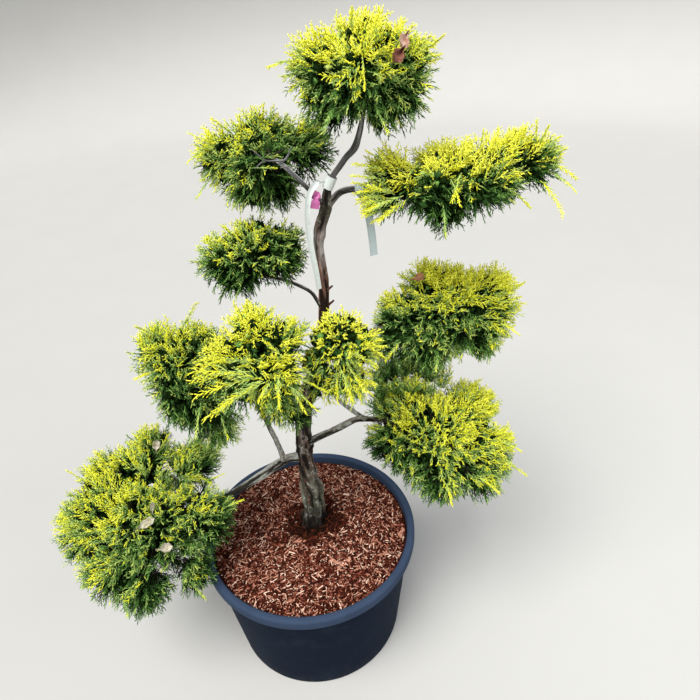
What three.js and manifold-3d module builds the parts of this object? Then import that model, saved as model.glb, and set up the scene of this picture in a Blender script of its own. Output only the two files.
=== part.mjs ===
// A golden juniper trained as a cloud-pruned tree, growing in its round plastic nursery pot.
// Millimetres, +Z up. The origin is the centre of the pot's flat underside, and the tree's front faces -Y.

import * as THREE from "three";
import { mergeVertices } from "three/addons/utils/BufferGeometryUtils.js";
import Module from "manifold-3d";

const wasm = await Module();
wasm.setup();

// Clearance between solids that touch in the real tree.
const GAP = 0.3;

// The pot: a tapered tub with a rolled lip.
const POT = {
  height: 315,
  rimRadius: 250,
  baseRadius: 207,
  wallTopRadius: 237,
  wall: 4.5,
  floor: 6,
  lipDepth: 25,
  lipRound: 6,
  lipEdge: 2.5,
  footRound: 5,
  segments: 36,
};

// The bark mulch that fills the pot, nearly level, a little higher round the trunk.
const MULCH = {
  edgeHeight: 296,
  shoulderHeight: 299,
  shoulderRadius: 150,
  crownHeight: 302,
  crownRadius: 72,
};

// The trunk: stations of x, y, z and radius, from its flat cut at the mulch to the foot of the crown.
const TRUNK = {
  stations: [
    [8, 26, MULCH.crownHeight + GAP, 33],
    [8, 23, 330, 26],
    [10, 18, 400, 23.5],
    [9, 15, 541, 20],
    [26, 15, 670, 17],
    [64, 15, 800, 12.5],
    [83, 15, 900, 9.6],
    [83, 15, 975, 9.4],
    [82, 15, 1012, 7.6],
    [86, 15, 1042, 8.2],
    [99, 15, 1078, 9.4],
    [104, 15, 1104, 7.6],
    [110, 15, 1124, 6.2],
    [137, 14, 1159, 5.4],
    [153, 14, 1175, 5.4],
    [164, 12, 1203, 5],
    [169, 11, 1226, 4.6],
  ],
  sides: 11,
  stepsPerStation: 2,
  // Root flare: how far the buttresses stand out at the foot, how many, where they start, how they fade.
  flare: { rise: 0.2, count: 5, start: 0.6, fade: 34 },
};

// Pruned stubs on the trunk: where they leave it, which way they point, length and radius.
const STUBS = [
  { at: [83, 15, 922], towards: [1, -0.3, 0.9], length: 26, radius: 3 },
  { at: [82, 15, 890], towards: [1, 0.2, 0.7], length: 24, radius: 3.2 },
  { at: [83, 15, 985], towards: [0.5, -0.9, 1.3], length: 26, radius: 2.6 },
  { at: [8, 15, 585], towards: [0.5, -1, 0.4], length: 30, radius: 7 },
];
const STUB_SIDES = 5;
const STUB_TAPER = 0.55;

// The boughs. Each is one tapering limb of x, y, z and radius stations, from the middle of the limb
// that it leaves to the point where it enters its mass of foliage.
const BOUGHS = {
  bough_low_left: {
    from: "trunk",
    stations: [
      [8, 15, 522, 12],
      [-30, 10, 522, 10.5],
      [-90, 0, 488, 9],
      [-158, -10, 450, 8],
      [-196, -22, 438, 7],
    ],
  },
  bough_low_right: {
    from: "trunk",
    stations: [
      [10, 15, 556, 9],
      [40, 15, 573, 8],
      [82, 15, 593, 7.2],
      [130, 11, 620, 6.8],
      [168, 5, 622, 6.2],
    ],
  },
  bough_front: {
    from: "bough_low_left",
    stations: [
      [-37, 9, 519, 7],
      [-41, 0, 562, 6],
      [-45, -16, 610, 5.4],
      [-49, -34, 653, 5],
      [-51, -62, 710, 4.5],
      [-49, -100, 764, 4],
    ],
  },
  bough_front_left: {
    from: "trunk",
    stations: [
      [24, 15, 650, 7.5],
      [-10, 2, 672, 6],
      [-62, -20, 708, 5.2],
      [-108, -36, 735, 4.6],
      [-128, -41, 752, 4.2],
    ],
  },
  bough_front_right: {
    from: "bough_low_right",
    stations: [
      [149, 9, 622, 5],
      [137, -8, 645, 4.8],
      [117, -30, 683, 4.5],
      [92, -58, 738, 4.2],
      [94, -74, 775, 3.8],
    ],
  },
  bough_mid_right: {
    from: "trunk",
    stations: [
      [62, 15, 792, 8],
      [88, 19, 800, 6.6],
      [128, 29, 806, 5.8],
      [178, 44, 818, 5.2],
      [205, 50, 823, 4.8],
    ],
  },
  bough_mid_left: {
    from: "trunk",
    stations: [
      [82, 15, 880, 4.6],
      [73, 16, 900, 3.8],
      [60, 20, 923, 3.4],
      [28, 30, 939, 3.2],
      [6, 36, 946, 3],
    ],
  },
  bough_top_left: {
    from: "trunk",
    stations: [
      [99, 15, 1082, 6],
      [89, 12, 1098, 5],
      [68, 8, 1125, 4.6],
      [40, 4, 1157, 4.2],
      [26, 14, 1166, 4],
    ],
  },
  bough_top_right: {
    from: "trunk",
    stations: [
      [99, 15, 1078, 7],
      [112, 14, 1094, 6.2],
      [129, 10, 1109, 5.6],
      [155, 5, 1113, 5],
      [186, 2, 1108, 4.6],
    ],
  },
};
const BOUGH_SIDES = 7;
const BOUGH_STEPS_PER_STATION = 2;

// The clipped masses of foliage. Each is a cluster of lobes, given by centre x, y, z and by the radius that
// the tips of its sprays reach. The first lobe is the heart of the mass, where its stem ends.
const MASSES = {
  crown_top: {
    bough: "trunk",
    lobes: [
      [169, 10, 1290, 84], [187, 10, 1320, 50], [103, 18, 1293, 58], [238, 10, 1296, 58],
      [110, -6, 1253, 48], [234, 0, 1250, 46], [158, -45, 1284, 64], [184, 66, 1280, 78],
      [122, 2, 1222, 32], [198, 2, 1220, 32],
    ],
  },
  pad_top_left: {
    bough: "bough_top_left",
    lobes: [
      [-6, 96, 1156, 76], [-74, 95, 1156, 60], [-2, 100, 1182, 60], [72, 110, 1160, 60],
      [-29, 86, 1106, 60], [22, 92, 1096, 44], [-14, 52, 1160, 58],
    ],
  },
  pad_top_right: {
    bough: "bough_top_right",
    lobes: [
      [299, 5, 1120, 74], [214, 5, 1122, 62], [380, 5, 1129, 68], [446, 5, 1138, 54], [304, -12, 1078, 50],
      [190, -28, 1102, 35], [420, 20, 1162, 40], [301, 65, 1112, 62], [404, 60, 1118, 58],
      [262, -56, 1122, 52], [359, -52, 1120, 52],
    ],
  },
  pad_mid_left: {
    bough: "bough_mid_left",
    lobes: [
      [-46, 52, 990, 74], [-98, 52, 980, 58], [16, 62, 1002, 52], [-78, 45, 948, 44], [-34, 74, 1014, 52],
      [20, 46, 972, 44],
    ],
  },
  pad_mid_right: {
    bough: "bough_mid_right",
    lobes: [
      [308, 60, 846, 92], [396, 60, 860, 82], [232, 60, 834, 68], [294, 92, 886, 64], [286, 26, 788, 64],
      [384, 30, 816, 66], [210, 42, 798, 48],
    ],
  },
  pad_low_right: {
    bough: "bough_low_right",
    lobes: [
      [288, -6, 576, 110], [226, 40, 634, 72], [376, 42, 602, 76], [396, -10, 530, 86], [300, -50, 516, 80],
      [208, -6, 572, 77], [386, -52, 496, 60],
    ],
  },
  pad_front_left: {
    bough: "bough_front_left",
    lobes: [
      [-190, -52, 816, 78], [-224, -30, 850, 60], [-166, -18, 850, 58], [-187, -75, 768, 66],
      [-152, -60, 730, 54], [-132, -44, 862, 44],
    ],
  },
  pad_front: {
    bough: "bough_front",
    lobes: [
      [-21, -140, 880, 74], [-35, -118, 930, 56], [24, -122, 912, 46], [-80, -142, 888, 56],
      [-68, -162, 852, 48], [4, -180, 878, 58], [-4, -128, 792, 52], [22, -108, 738, 36],
    ],
  },
  pad_front_right: {
    bough: "bough_front_right",
    lobes: [
      [118, -96, 874, 57], [112, -86, 904, 44], [148, -98, 874, 45], [80, -100, 886, 40],
      [62, -102, 848, 40], [66, -104, 800, 37], [104, -104, 808, 36], [126, -115, 806, 42],
    ],
  },
  pad_low_left: {
    bough: "bough_low_left",
    lobes: [
      [-332, -79, 440, 128], [-424, -13, 480, 84], [-346, 32, 520, 80], [-335, 54, 556, 50],
      [-458, -60, 430, 96], [-414, -138, 372, 76], [-344, -166, 342, 64], [-208, -76, 452, 76],
      [-246, 36, 502, 66], [-242, -136, 352, 56], [-436, 20, 494, 70],
    ],
  },
};

// How a mass is made: a stem runs from its bough to its heart, a core fills it nearly to the lobes' reach,
// and sprays of needles, rooted in the core, stand out of it to that reach.
const FOLIAGE = {
  // How sharply the lobes end: the higher, the less they swell where they meet.
  lobeSharpness: 4,
  // Steps of the search for the reach, how near its line must pass to a lobe's centre to run through that
  // lobe, and how far out it starts, as shares of the lobe's radius.
  reachSteps: 14,
  throughLobe: 0.9,
  beyondLobe: 1.3,
  // The core: its share of the reach, its least depth below it, how uneven it is, and how full of other
  // masses a corner may be before it is pulled back by a factor.
  coreDetail: 3,
  coreShare: 0.78,
  coreDepth: 28,
  coreRuffle: 0.16,
  heldBack: 0.8,
  pullBack: 0.95,
  // The sprays: surface of a ball round the mass for each, how deep they are rooted, their size, how much
  // they lean upwards and stray, and how near to a limb they may come.
  areaPerSpray: 7600,
  sink: 8,
  longestSpray: 75,
  sprayWidth: 0.46,
  sprayThickness: 0.05,
  lift: 0.35,
  scatter: 0.25,
  clearance: 3,
  // The stem and its twigs: radius of the stem as a share of the bough's tip, where it bends, and the twigs.
  stemShare: 0.95,
  stemBend: 0.3,
  stemSides: 6,
  stemSteps: 3,
  twigCount: 3,
  twigRadius: 3,
  twigSides: 4,
};

// The rim of a spray from its root, as shares of its half width and of its length: three teeth. Its two faces
// are highest at the peak.
const SPRAY_RIM = [
  [0, 0],
  [-1, 0.66],
  [-0.34, 0.68],
  [0, 1],
  [0.3, 0.72],
  [0.9, 0.8],
];
const SPRAY_PEAK = 0.42;
const SPRAY_TEETH = 0.72;

// The nursery's straps: one looped round the leader with a long tail, one round the right upper bough, and a
// short ribbon on the left one. Each is a flat strip: a band round a limb, at a place counted in the limb's
// stations, and a tail through a row of points, turned about Z to face the front at an angle.
const STRAPS = {
  strap_long: {
    finish: "strap",
    loop: { limb: "trunk", station: 11.7, inner: 7.5 },
    tail: [
      [92, 5, 1126],
      [82, -4, 1122],
      [73.5, -11, 1108],
      [70.5, -12, 1085],
      [69.5, -12, 1058],
      [73, -11, 1018],
      [77, -9, 976],
      [79, -7, 941],
    ],
    width: 13,
    facing: 35,
  },
  strap_short: {
    finish: "strap",
    loop: { limb: "bough_top_right", station: 2.5, inner: 6.8 },
    tail: [
      [150, 16, 1091],
      [167, 15, 1070],
      [179, 7, 1040],
      [185, 0, 996],
    ],
    width: 14,
    facing: 20,
  },
  ribbon: {
    finish: "ribbon",
    loop: { limb: "bough_top_left", station: 1.25, inner: 6.2 },
    tail: [
      [80, 1, 1101],
      [79, -4, 1091],
      [77, -5, 1075],
    ],
    width: 12,
    facing: 15,
  },
};
// All straps: thickness, sides of the band, steps along the tail, and the share of the tail that turns from
// the band to its facing.
const STRAP = { thickness: 0.9, loopSides: 14, steps: 14, turn: 0.45 };

const FINISHES = {
  pot: { color: 0x1d2733, roughness: 0.45, metalness: 0 },
  mulch: { color: 0x6a3424, roughness: 0.95, metalness: 0 },
  bark: { color: 0x6b5a4c, roughness: 0.95, metalness: 0 },
  foliage: { color: 0xb2b92a, roughness: 0.7, metalness: 0 },
  strap: { color: 0xe6ebe8, roughness: 0.5, metalness: 0 },
  ribbon: { color: 0xd07ab0, roughness: 0.5, metalness: 0 },
};

// A repeatable fraction from 0 to 1 for the k-th draw of a seed.
function draw(seed, k) {
  const value = Math.sin(seed * 12.9898 + k * 78.233) * 43758.5453;
  return value - Math.floor(value);
}

// The k-th of n directions spread evenly over a sphere, turned by an angle about Z.
function spreadDirection(k, n, turn) {
  const z = 1 - (2 * (k + 0.5)) / n;
  const across = Math.sqrt(1 - z * z);
  const angle = k * Math.PI * (3 - Math.sqrt(5)) + turn;
  return new THREE.Vector3(across * Math.cos(angle), across * Math.sin(angle), z);
}

// A closed geometry as a solid that can be joined and cut.
function solidOf(geometry) {
  const bare = geometry.index ? geometry.toNonIndexed() : geometry.clone();
  bare.deleteAttribute("normal");
  bare.deleteAttribute("uv");
  const merged = mergeVertices(bare, 1e-3);
  return new wasm.Manifold(
    new wasm.Mesh({
      numProp: 3,
      vertProperties: merged.attributes.position.array,
      triVerts: new Uint32Array(merged.index.array),
    }),
  );
}

// The largest body of a solid, without loose scraps or sealed hollows, as a geometry.
function geometryOf(solid) {
  const largest = solid.decompose().reduce((a, b) => (b.volume() > a.volume() ? b : a));
  const mesh = largest.getMesh();
  return new THREE.BufferGeometry()
    .setAttribute("position", new THREE.BufferAttribute(mesh.vertProperties, 3))
    .setIndex(new THREE.BufferAttribute(mesh.triVerts, 1));
}

// A closed surface from rings of points that all have the same count, capped by fans at both ends.
function ringsGeometry(rings) {
  const sides = rings[0].length;
  const middle = (ring) => ring.reduce((sum, p) => sum.add(p), new THREE.Vector3()).divideScalar(sides);
  const points = [...rings.flat(), middle(rings[0]), middle(rings.at(-1))];
  const faces = [];
  for (let i = 0; i < sides; i++) {
    const next = (i + 1) % sides;
    for (let k = 0; k + 1 < rings.length; k++) {
      const row = k * sides;
      faces.push(row + i, row + next, row + sides + next, row + i, row + sides + next, row + sides + i);
    }
    const last = (rings.length - 1) * sides;
    faces.push(next, i, points.length - 2, last + i, last + next, points.length - 1);
  }
  return new THREE.BufferGeometry().setFromPoints(points).setIndex(faces);
}

// The smooth line and radius through a limb's stations, as samples that each carry a frame without twist.
function limbSamples(stations, stepsPerStation) {
  const curve = new THREE.CatmullRomCurve3(
    stations.map(([x, y, z]) => new THREE.Vector3(x, y, z)),
    false,
    "centripetal",
  );
  const count = (stations.length - 1) * stepsPerStation;
  const samples = [];
  let normal = new THREE.Vector3(1, 0, 0);
  for (let i = 0; i <= count; i++) {
    const t = i / count;
    const place = t * (stations.length - 1);
    const k = Math.min(Math.floor(place), stations.length - 2);
    const tangent = curve.getTangent(t);
    normal = normal.clone().addScaledVector(tangent, -normal.dot(tangent)).normalize();
    samples.push({
      point: curve.getPoint(t),
      radius: THREE.MathUtils.lerp(stations[k][3], stations[k + 1][3], place - k),
      tangent,
      normal,
      binormal: new THREE.Vector3().crossVectors(tangent, normal),
    });
  }
  return samples;
}

// A round limb along its samples, grown by a clearance all over and past its tip where one is given. The
// swell is an optional factor on the radius by sample and angle.
function limbGeometry(samples, sides, grow = 0, swell = () => 1) {
  const tip = samples.at(-1);
  const rings = samples.map((sample) =>
    Array.from({ length: sides }, (_, i) => {
      const angle = (i / sides) * 2 * Math.PI;
      const radius = sample.radius * swell(sample, angle) + grow;
      return sample.point
        .clone()
        .addScaledVector(sample.tangent, sample === tip ? grow : 0)
        .addScaledVector(sample.normal, radius * Math.cos(angle))
        .addScaledVector(sample.binormal, radius * Math.sin(angle));
    }),
  );
  return ringsGeometry(rings);
}

// The trunk's buttresses: a swelling at the foot that fades with height.
function rootFlare(sample, angle) {
  const { rise, count, start, fade } = TRUNK.flare;
  const height = sample.point.z - TRUNK.stations[0][2];
  return 1 + rise * Math.cos(count * angle + start) * Math.exp(-height / fade);
}

// The trunk with its pruned stubs, cut flat where it meets the mulch.
function trunkSolid(samples, grow = 0) {
  const foot = TRUNK.stations[0][2];
  const geometry = limbGeometry(samples, TRUNK.sides, grow, rootFlare);
  const position = geometry.attributes.position;
  for (let i = 0; i < TRUNK.sides; i++) position.setZ(i, foot);
  position.setZ(position.count - 2, foot);
  return STUBS.reduce((solid, { at, towards, length, radius }) => {
    const end = new THREE.Vector3(...at).addScaledVector(new THREE.Vector3(...towards).normalize(), length);
    const stations = [
      [...at, radius],
      [...end, radius * STUB_TAPER],
    ];
    return solid.add(solidOf(limbGeometry(limbSamples(stations, 1), STUB_SIDES, grow)));
  }, solidOf(geometry));
}

// The tub: a closed profile of radius and height turned about the axis.
function potGeometry() {
  const { height, rimRadius, baseRadius, wallTopRadius, wall, floor } = POT;
  const { lipDepth, lipRound, lipEdge, footRound } = POT;
  const under = height - lipDepth;
  const inner = wallTopRadius - wall;
  const bevel = lipRound * (1 - Math.SQRT1_2);
  return turned([
    [0, 0],
    [baseRadius - footRound, 0],
    [baseRadius, footRound],
    [wallTopRadius, under],
    [rimRadius - lipEdge, under],
    [rimRadius, under + lipEdge],
    [rimRadius, height - lipRound],
    [rimRadius - bevel, height - bevel],
    [rimRadius - lipRound, height],
    [inner + lipRound, height],
    [inner + bevel, height - bevel],
    [inner, height - lipRound],
    [baseRadius - wall, floor],
    [0, floor],
  ]);
}

// The inner radius of the tub at a height.
function potInnerRadius(z) {
  const top = POT.height - POT.lipRound;
  const share = (z - POT.floor) / (top - POT.floor);
  return THREE.MathUtils.lerp(POT.baseRadius - POT.wall, POT.wallTopRadius - POT.wall, share);
}

// The mulch that fills the tub, clear of its wall and floor.
function mulchGeometry() {
  const bottom = POT.floor + GAP;
  return turned([
    [0, bottom],
    [potInnerRadius(bottom) - GAP, bottom],
    [potInnerRadius(MULCH.edgeHeight) - GAP, MULCH.edgeHeight],
    [MULCH.shoulderRadius, MULCH.shoulderHeight],
    [MULCH.crownRadius, MULCH.crownHeight],
    [0, MULCH.crownHeight],
  ]);
}

// A profile of radius and height pairs, turned about Z.
function turned(profile) {
  const points = profile.map(([r, z]) => new THREE.Vector2(r, z));
  return new THREE.LatheGeometry(points, POT.segments).rotateX(Math.PI / 2);
}

// How full a point is of foliage: over 1 inside the lobes, 1 at their reach, where they melt into each other,
// and falling to 0 outside.
function fullness({ x, y, z }, lobes) {
  return lobes.reduce((sum, [u, v, w, radius]) => {
    const share = ((x - u) ** 2 + (y - v) ** 2 + (z - w) ** 2) / radius ** 2;
    return sum + Math.exp(FOLIAGE.lobeSharpness * (1 - share));
  }, 0);
}

// How far a mass reaches from its heart in a direction, found by halving the way out to its furthest lobe.
function massReach(lobes, direction) {
  const heart = new THREE.Vector3(...lobes[0]);
  let near = 0;
  let far = 0;
  for (const [x, y, z, radius] of lobes) {
    const offset = new THREE.Vector3(x, y, z).sub(heart);
    const aside = offset.clone().addScaledVector(direction, -offset.dot(direction)).length();
    if (aside < radius * FOLIAGE.throughLobe) near = Math.max(near, offset.dot(direction));
    far = Math.max(far, offset.length() + radius * FOLIAGE.beyondLobe);
  }
  for (let i = 0; i < FOLIAGE.reachSteps; i++) {
    const middle = (near + far) / 2;
    if (fullness(heart.clone().addScaledVector(direction, middle), lobes) > 1) near = middle;
    else far = middle;
  }
  return near;
}

// How far the core of a mass reaches from its heart in a direction.
function coreReach(lobes, direction) {
  const reach = massReach(lobes, direction);
  return Math.min(reach * FOLIAGE.coreShare, reach - FOLIAGE.coreDepth);
}

// The core of a mass: a ball of triangles whose corners are moved out to the core's reach, some short of it,
// and held back from the lobes of other masses.
function coreGeometry(lobes, otherLobes, seed) {
  const heart = new THREE.Vector3(...lobes[0]);
  const ball = new THREE.IcosahedronGeometry(1, FOLIAGE.coreDetail);
  const position = ball.attributes.position;
  for (let i = 0; i < position.count; i++) {
    const direction = new THREE.Vector3().fromBufferAttribute(position, i).normalize();
    const ruffle = 1 - FOLIAGE.coreRuffle * draw(seed, 7 * direction.x + 5 * direction.y + 3 * direction.z);
    const offset = direction.clone().multiplyScalar(coreReach(lobes, direction) * ruffle);
    const point = offset.clone().add(heart);
    while (fullness(point, otherLobes) > FOLIAGE.heldBack) {
      point.copy(heart).add(offset.multiplyScalar(FOLIAGE.pullBack));
    }
    position.setXYZ(i, point.x, point.y, point.z);
  }
  return ball;
}

// One spray of needles: a flat blade with three teeth, thickest at its peak and thin at every edge.
function sprayGeometry({ root, along, side, length }) {
  const face = new THREE.Vector3().crossVectors(along, side);
  const place = (across, up, out) =>
    root
      .clone()
      .addScaledVector(side, across * length * FOLIAGE.sprayWidth)
      .addScaledVector(along, up * length)
      .addScaledVector(face, out * length * FOLIAGE.sprayThickness);
  const rim = SPRAY_RIM.map(([across, up]) => place(across, up, 0));
  const points = [...rim, place(0, SPRAY_PEAK, 1), place(0, SPRAY_PEAK, -1)];
  const faces = [];
  rim.forEach((_, i) => {
    const next = (i + 1) % rim.length;
    faces.push(i, next, rim.length, next, i, rim.length + 1);
  });
  return new THREE.BufferGeometry().setFromPoints(points).setIndex(faces);
}

// A direction square to another one, turned about it by an angle.
function squareTo(along, angle) {
  const { x, y, z } = along;
  const smallest = Math.min(Math.abs(x), Math.abs(y), Math.abs(z));
  const axis = new THREE.Vector3(...[x, y, z].map((part) => (Math.abs(part) === smallest ? 1 : 0)));
  return axis.cross(along).normalize().applyAxisAngle(along, angle);
}

// The directions of a mass's sprays from its heart: through every lobe and straight up, and then evenly
// spread ones, of which a seeded draw keeps more where the mass reaches far.
function sprayDirections(lobes, seed) {
  const heart = new THREE.Vector3(...lobes[0]);
  const offsets = lobes.map(([x, y, z]) => new THREE.Vector3(x, y, z).sub(heart));
  const furthest = Math.max(...offsets.map((offset, i) => offset.length() + lobes[i][3]));
  const count = Math.round((4 * Math.PI * furthest * furthest) / FOLIAGE.areaPerSpray);
  const directions = [new THREE.Vector3(0, 0, 1), ...offsets.slice(1).map((offset) => offset.normalize())];
  for (let k = 0; k < count; k++) {
    const direction = spreadDirection(k, count, 2 * Math.PI * draw(seed, 0));
    const sway = new THREE.Vector3(draw(seed, 5 * k + 1) - 0.5, draw(seed, 5 * k + 2) - 0.5, 0);
    direction.addScaledVector(sway, FOLIAGE.scatter).normalize();
    const share = massReach(lobes, direction) / furthest;
    if (draw(seed, 5 * k + 3) < share * share) directions.push(direction);
  }
  return directions;
}

// The sprays of a mass, rooted in its core and leaning upwards, with their tips at the lobes' reach.
function massSprays(lobes, seed) {
  const heart = new THREE.Vector3(...lobes[0]);
  return sprayDirections(lobes, seed).map((outwards, k) => {
    const reach = massReach(lobes, outwards);
    const rooted = coreReach(lobes, outwards) * (1 - FOLIAGE.coreRuffle) - FOLIAGE.sink;
    const along = outwards.clone();
    along.z += FOLIAGE.lift * Math.sqrt(1 - outwards.z * outwards.z);
    along.normalize();
    return {
      root: outwards.clone().multiplyScalar(rooted).add(heart),
      along,
      side: squareTo(along, Math.PI * draw(seed, 5 * k + 4)),
      length: Math.min(reach - rooted, FOLIAGE.longestSpray),
    };
  });
}

// Whether a point is closer than the clearance to one of the limbs, each given by its samples.
function nearLimb(point, limbs) {
  return limbs.some((samples) =>
    samples.slice(1).some((sample, i) => {
      const line = new THREE.Line3(samples[i].point, sample.point);
      const closest = line.closestPointToPoint(point, true, new THREE.Vector3());
      return closest.distanceTo(point) < samples[i].radius + FOLIAGE.clearance;
    }),
  );
}

// Whether a point lies in the pot or in the air just over its rim.
function inPot({ x, y, z }) {
  return z < POT.height + FOLIAGE.clearance && Math.hypot(x, y) < POT.rimRadius + FOLIAGE.clearance;
}

// Whether a spray's tip or teeth come too near to a limb, into another mass or into the pot.
function sprayStrays({ root, along, side, length }, otherLobes, limbs) {
  const teeth = root.clone().addScaledVector(along, SPRAY_TEETH * length);
  const marks = [root.clone().addScaledVector(along, length), teeth];
  for (const reach of [-1, 1]) {
    marks.push(teeth.clone().addScaledVector(side, reach * length * FOLIAGE.sprayWidth));
  }
  return marks.some((mark) => nearLimb(mark, limbs) || fullness(mark, otherLobes) > 1 || inPot(mark));
}

// A mass: its core, its stem, which goes on from its bough's tip, the twigs that fork from the stem, and the
// sprays that don't stray, all fused to one solid.
function massSolid(lobes, seed, boughEnd, otherLobes, limbs) {
  const { stemShare, stemBend, stemSides, stemSteps, twigCount, twigRadius, twigSides } = FOLIAGE;
  const heart = new THREE.Vector3(...lobes[0]);
  const start = boughEnd.point.clone().addScaledVector(boughEnd.tangent, GAP);
  const bend = start.clone().addScaledVector(boughEnd.tangent, stemBend * start.distanceTo(heart));
  const stem = [
    [...start, boughEnd.radius * stemShare],
    [...bend, boughEnd.radius * stemShare],
    [...heart, twigRadius],
  ];
  const pieces = [
    solidOf(coreGeometry(lobes, otherLobes, seed)),
    solidOf(limbGeometry(limbSamples(stem, stemSteps), stemSides)),
  ];
  for (const [x, y, z] of lobes.slice(1, 1 + twigCount)) {
    const twig = [
      [...bend, twigRadius],
      [x, y, z, twigRadius / 2],
    ];
    pieces.push(solidOf(limbGeometry(limbSamples(twig, 1), twigSides)));
  }
  for (const spray of massSprays(lobes, seed)) {
    if (!sprayStrays(spray, otherLobes, limbs)) pieces.push(solidOf(sprayGeometry(spray)));
  }
  return pieces.reduce((whole, piece) => whole.add(piece));
}

// The place on a limb at a number of stations from its start: its point and the direction there.
function placeOnLimb(samples, stepsPerStation, station) {
  const step = station * stepsPerStation;
  const k = Math.min(Math.floor(step), samples.length - 2);
  return {
    centre: samples[k].point.clone().lerp(samples[k + 1].point, step - k),
    axis: samples[k].tangent.clone().lerp(samples[k + 1].tangent, step - k).normalize(),
  };
}

// A strap: a short band looped round a limb, with a flat tail that leaves it and hangs.
function strapSolid({ tail, width, facing }, { centre, axis, inner }) {
  const { thickness, loopSides, steps, turn } = STRAP;
  const profile = [
    [inner, -width / 2],
    [inner + thickness, -width / 2],
    [inner + thickness, width / 2],
    [inner, width / 2],
    [inner, -width / 2],
  ];
  const band = new THREE.LatheGeometry(profile.map(([r, z]) => new THREE.Vector2(r, z)), loopSides)
    .applyQuaternion(new THREE.Quaternion().setFromUnitVectors(new THREE.Vector3(0, 1, 0), axis))
    .translate(...centre);
  const points = tail.map((point) => new THREE.Vector3(...point));
  const leaving = points[0].clone().sub(centre);
  leaving.addScaledVector(axis, -leaving.dot(axis)).setLength(inner + thickness / 2);
  const curve = new THREE.CatmullRomCurve3([leaving.add(centre), ...points], false, "centripetal");
  const level = THREE.MathUtils.degToRad(facing);
  const hung = new THREE.Vector3(Math.cos(level), Math.sin(level), 0);
  const rings = Array.from({ length: steps + 1 }, (_, i) => {
    const t = i / steps;
    const tangent = curve.getTangent(t);
    const across = axis.clone().lerp(hung, Math.min(1, t / turn));
    across.addScaledVector(tangent, -across.dot(tangent)).setLength(width / 2);
    const out = new THREE.Vector3().crossVectors(tangent, across).setLength(thickness / 2);
    return [
      [-1, -1],
      [1, -1],
      [1, 1],
      [-1, 1],
    ].map(([u, v]) => curve.getPoint(t).addScaledVector(across, u).addScaledVector(out, v));
  });
  return solidOf(band).add(solidOf(ringsGeometry(rings)));
}

// A named mesh of a solid or geometry with a finish, placed at a point of the tree's frame.
function part(name, shape, finish, [x, y, z] = [0, 0, 0]) {
  const geometry = shape instanceof THREE.BufferGeometry ? shape : geometryOf(shape);
  const material = new THREE.MeshStandardMaterial(FINISHES[finish]);
  const mesh = new THREE.Mesh(geometry.translate(-x, -y, -z), material);
  mesh.name = name;
  mesh.position.set(x, y, z);
  return mesh;
}

const tree = new THREE.Group();

const pot = new THREE.Group();
pot.add(part("pot", potGeometry(), "pot"));
pot.add(part("mulch", mulchGeometry(), "mulch"));
tree.add(pot);

const limbs = { trunk: limbSamples(TRUNK.stations, TRUNK.stepsPerStation) };
const clearOf = { trunk: trunkSolid(limbs.trunk, GAP) };
const wood = new THREE.Group();
wood.add(part("trunk", trunkSolid(limbs.trunk), "bark", TRUNK.stations[0]));
for (const [name, { from, stations }] of Object.entries(BOUGHS)) {
  limbs[name] = limbSamples(stations, BOUGH_STEPS_PER_STATION);
  clearOf[name] = solidOf(limbGeometry(limbs[name], BOUGH_SIDES, GAP));
  const bough = solidOf(limbGeometry(limbs[name], BOUGH_SIDES)).subtract(clearOf[from]);
  wood.add(part(name, bough, "bark", stations[0]));
}
tree.add(wood);

// What foliage keeps clear of: the limbs, and the straps' tails as limbs as wide as the straps.
const hangings = Object.values(STRAPS).map(({ tail, width }) => tail.map((point) => [...point, width / 2]));
const obstacles = [...Object.values(limbs), ...hangings.map((stations) => limbSamples(stations, 1))];

const foliage = new THREE.Group();
Object.entries(MASSES).forEach(([name, { bough, lobes }], i) => {
  const otherLobes = Object.values(MASSES).flatMap((other) => (other.lobes === lobes ? [] : other.lobes));
  const whole = massSolid(lobes, i + 1, limbs[bough].at(-1), otherLobes, obstacles);
  const clear = Object.values(clearOf).reduce((solid, limb) => solid.subtract(limb), whole);
  foliage.add(part(name, clear, "foliage", lobes[0]));
});
tree.add(foliage);

const straps = new THREE.Group();
for (const [name, strap] of Object.entries(STRAPS)) {
  const { limb, station, inner } = strap.loop;
  const stepsPerStation = limb === "trunk" ? TRUNK.stepsPerStation : BOUGH_STEPS_PER_STATION;
  const place = placeOnLimb(limbs[limb], stepsPerStation, station);
  straps.add(part(name, strapSolid(strap, { ...place, inner }), strap.finish, place.centre.toArray()));
}
tree.add(straps);

export default tree;
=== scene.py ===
"""A golden juniper trained as a cloud-pruned tree in its round nursery pot, dressed for a still picture.

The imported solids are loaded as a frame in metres. Finished pieces of the same sizes stand in for the pot,
the mulch, the limbs, the masses of foliage and the straps, and a pale studio is set round them. Sizes in
this file are millimetres until a mesh is made.
"""

import logging
import math
from dataclasses import dataclass
from enum import Enum
from functools import cache

import bpy
import numpy as np
from mathutils import Matrix, Vector

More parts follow.
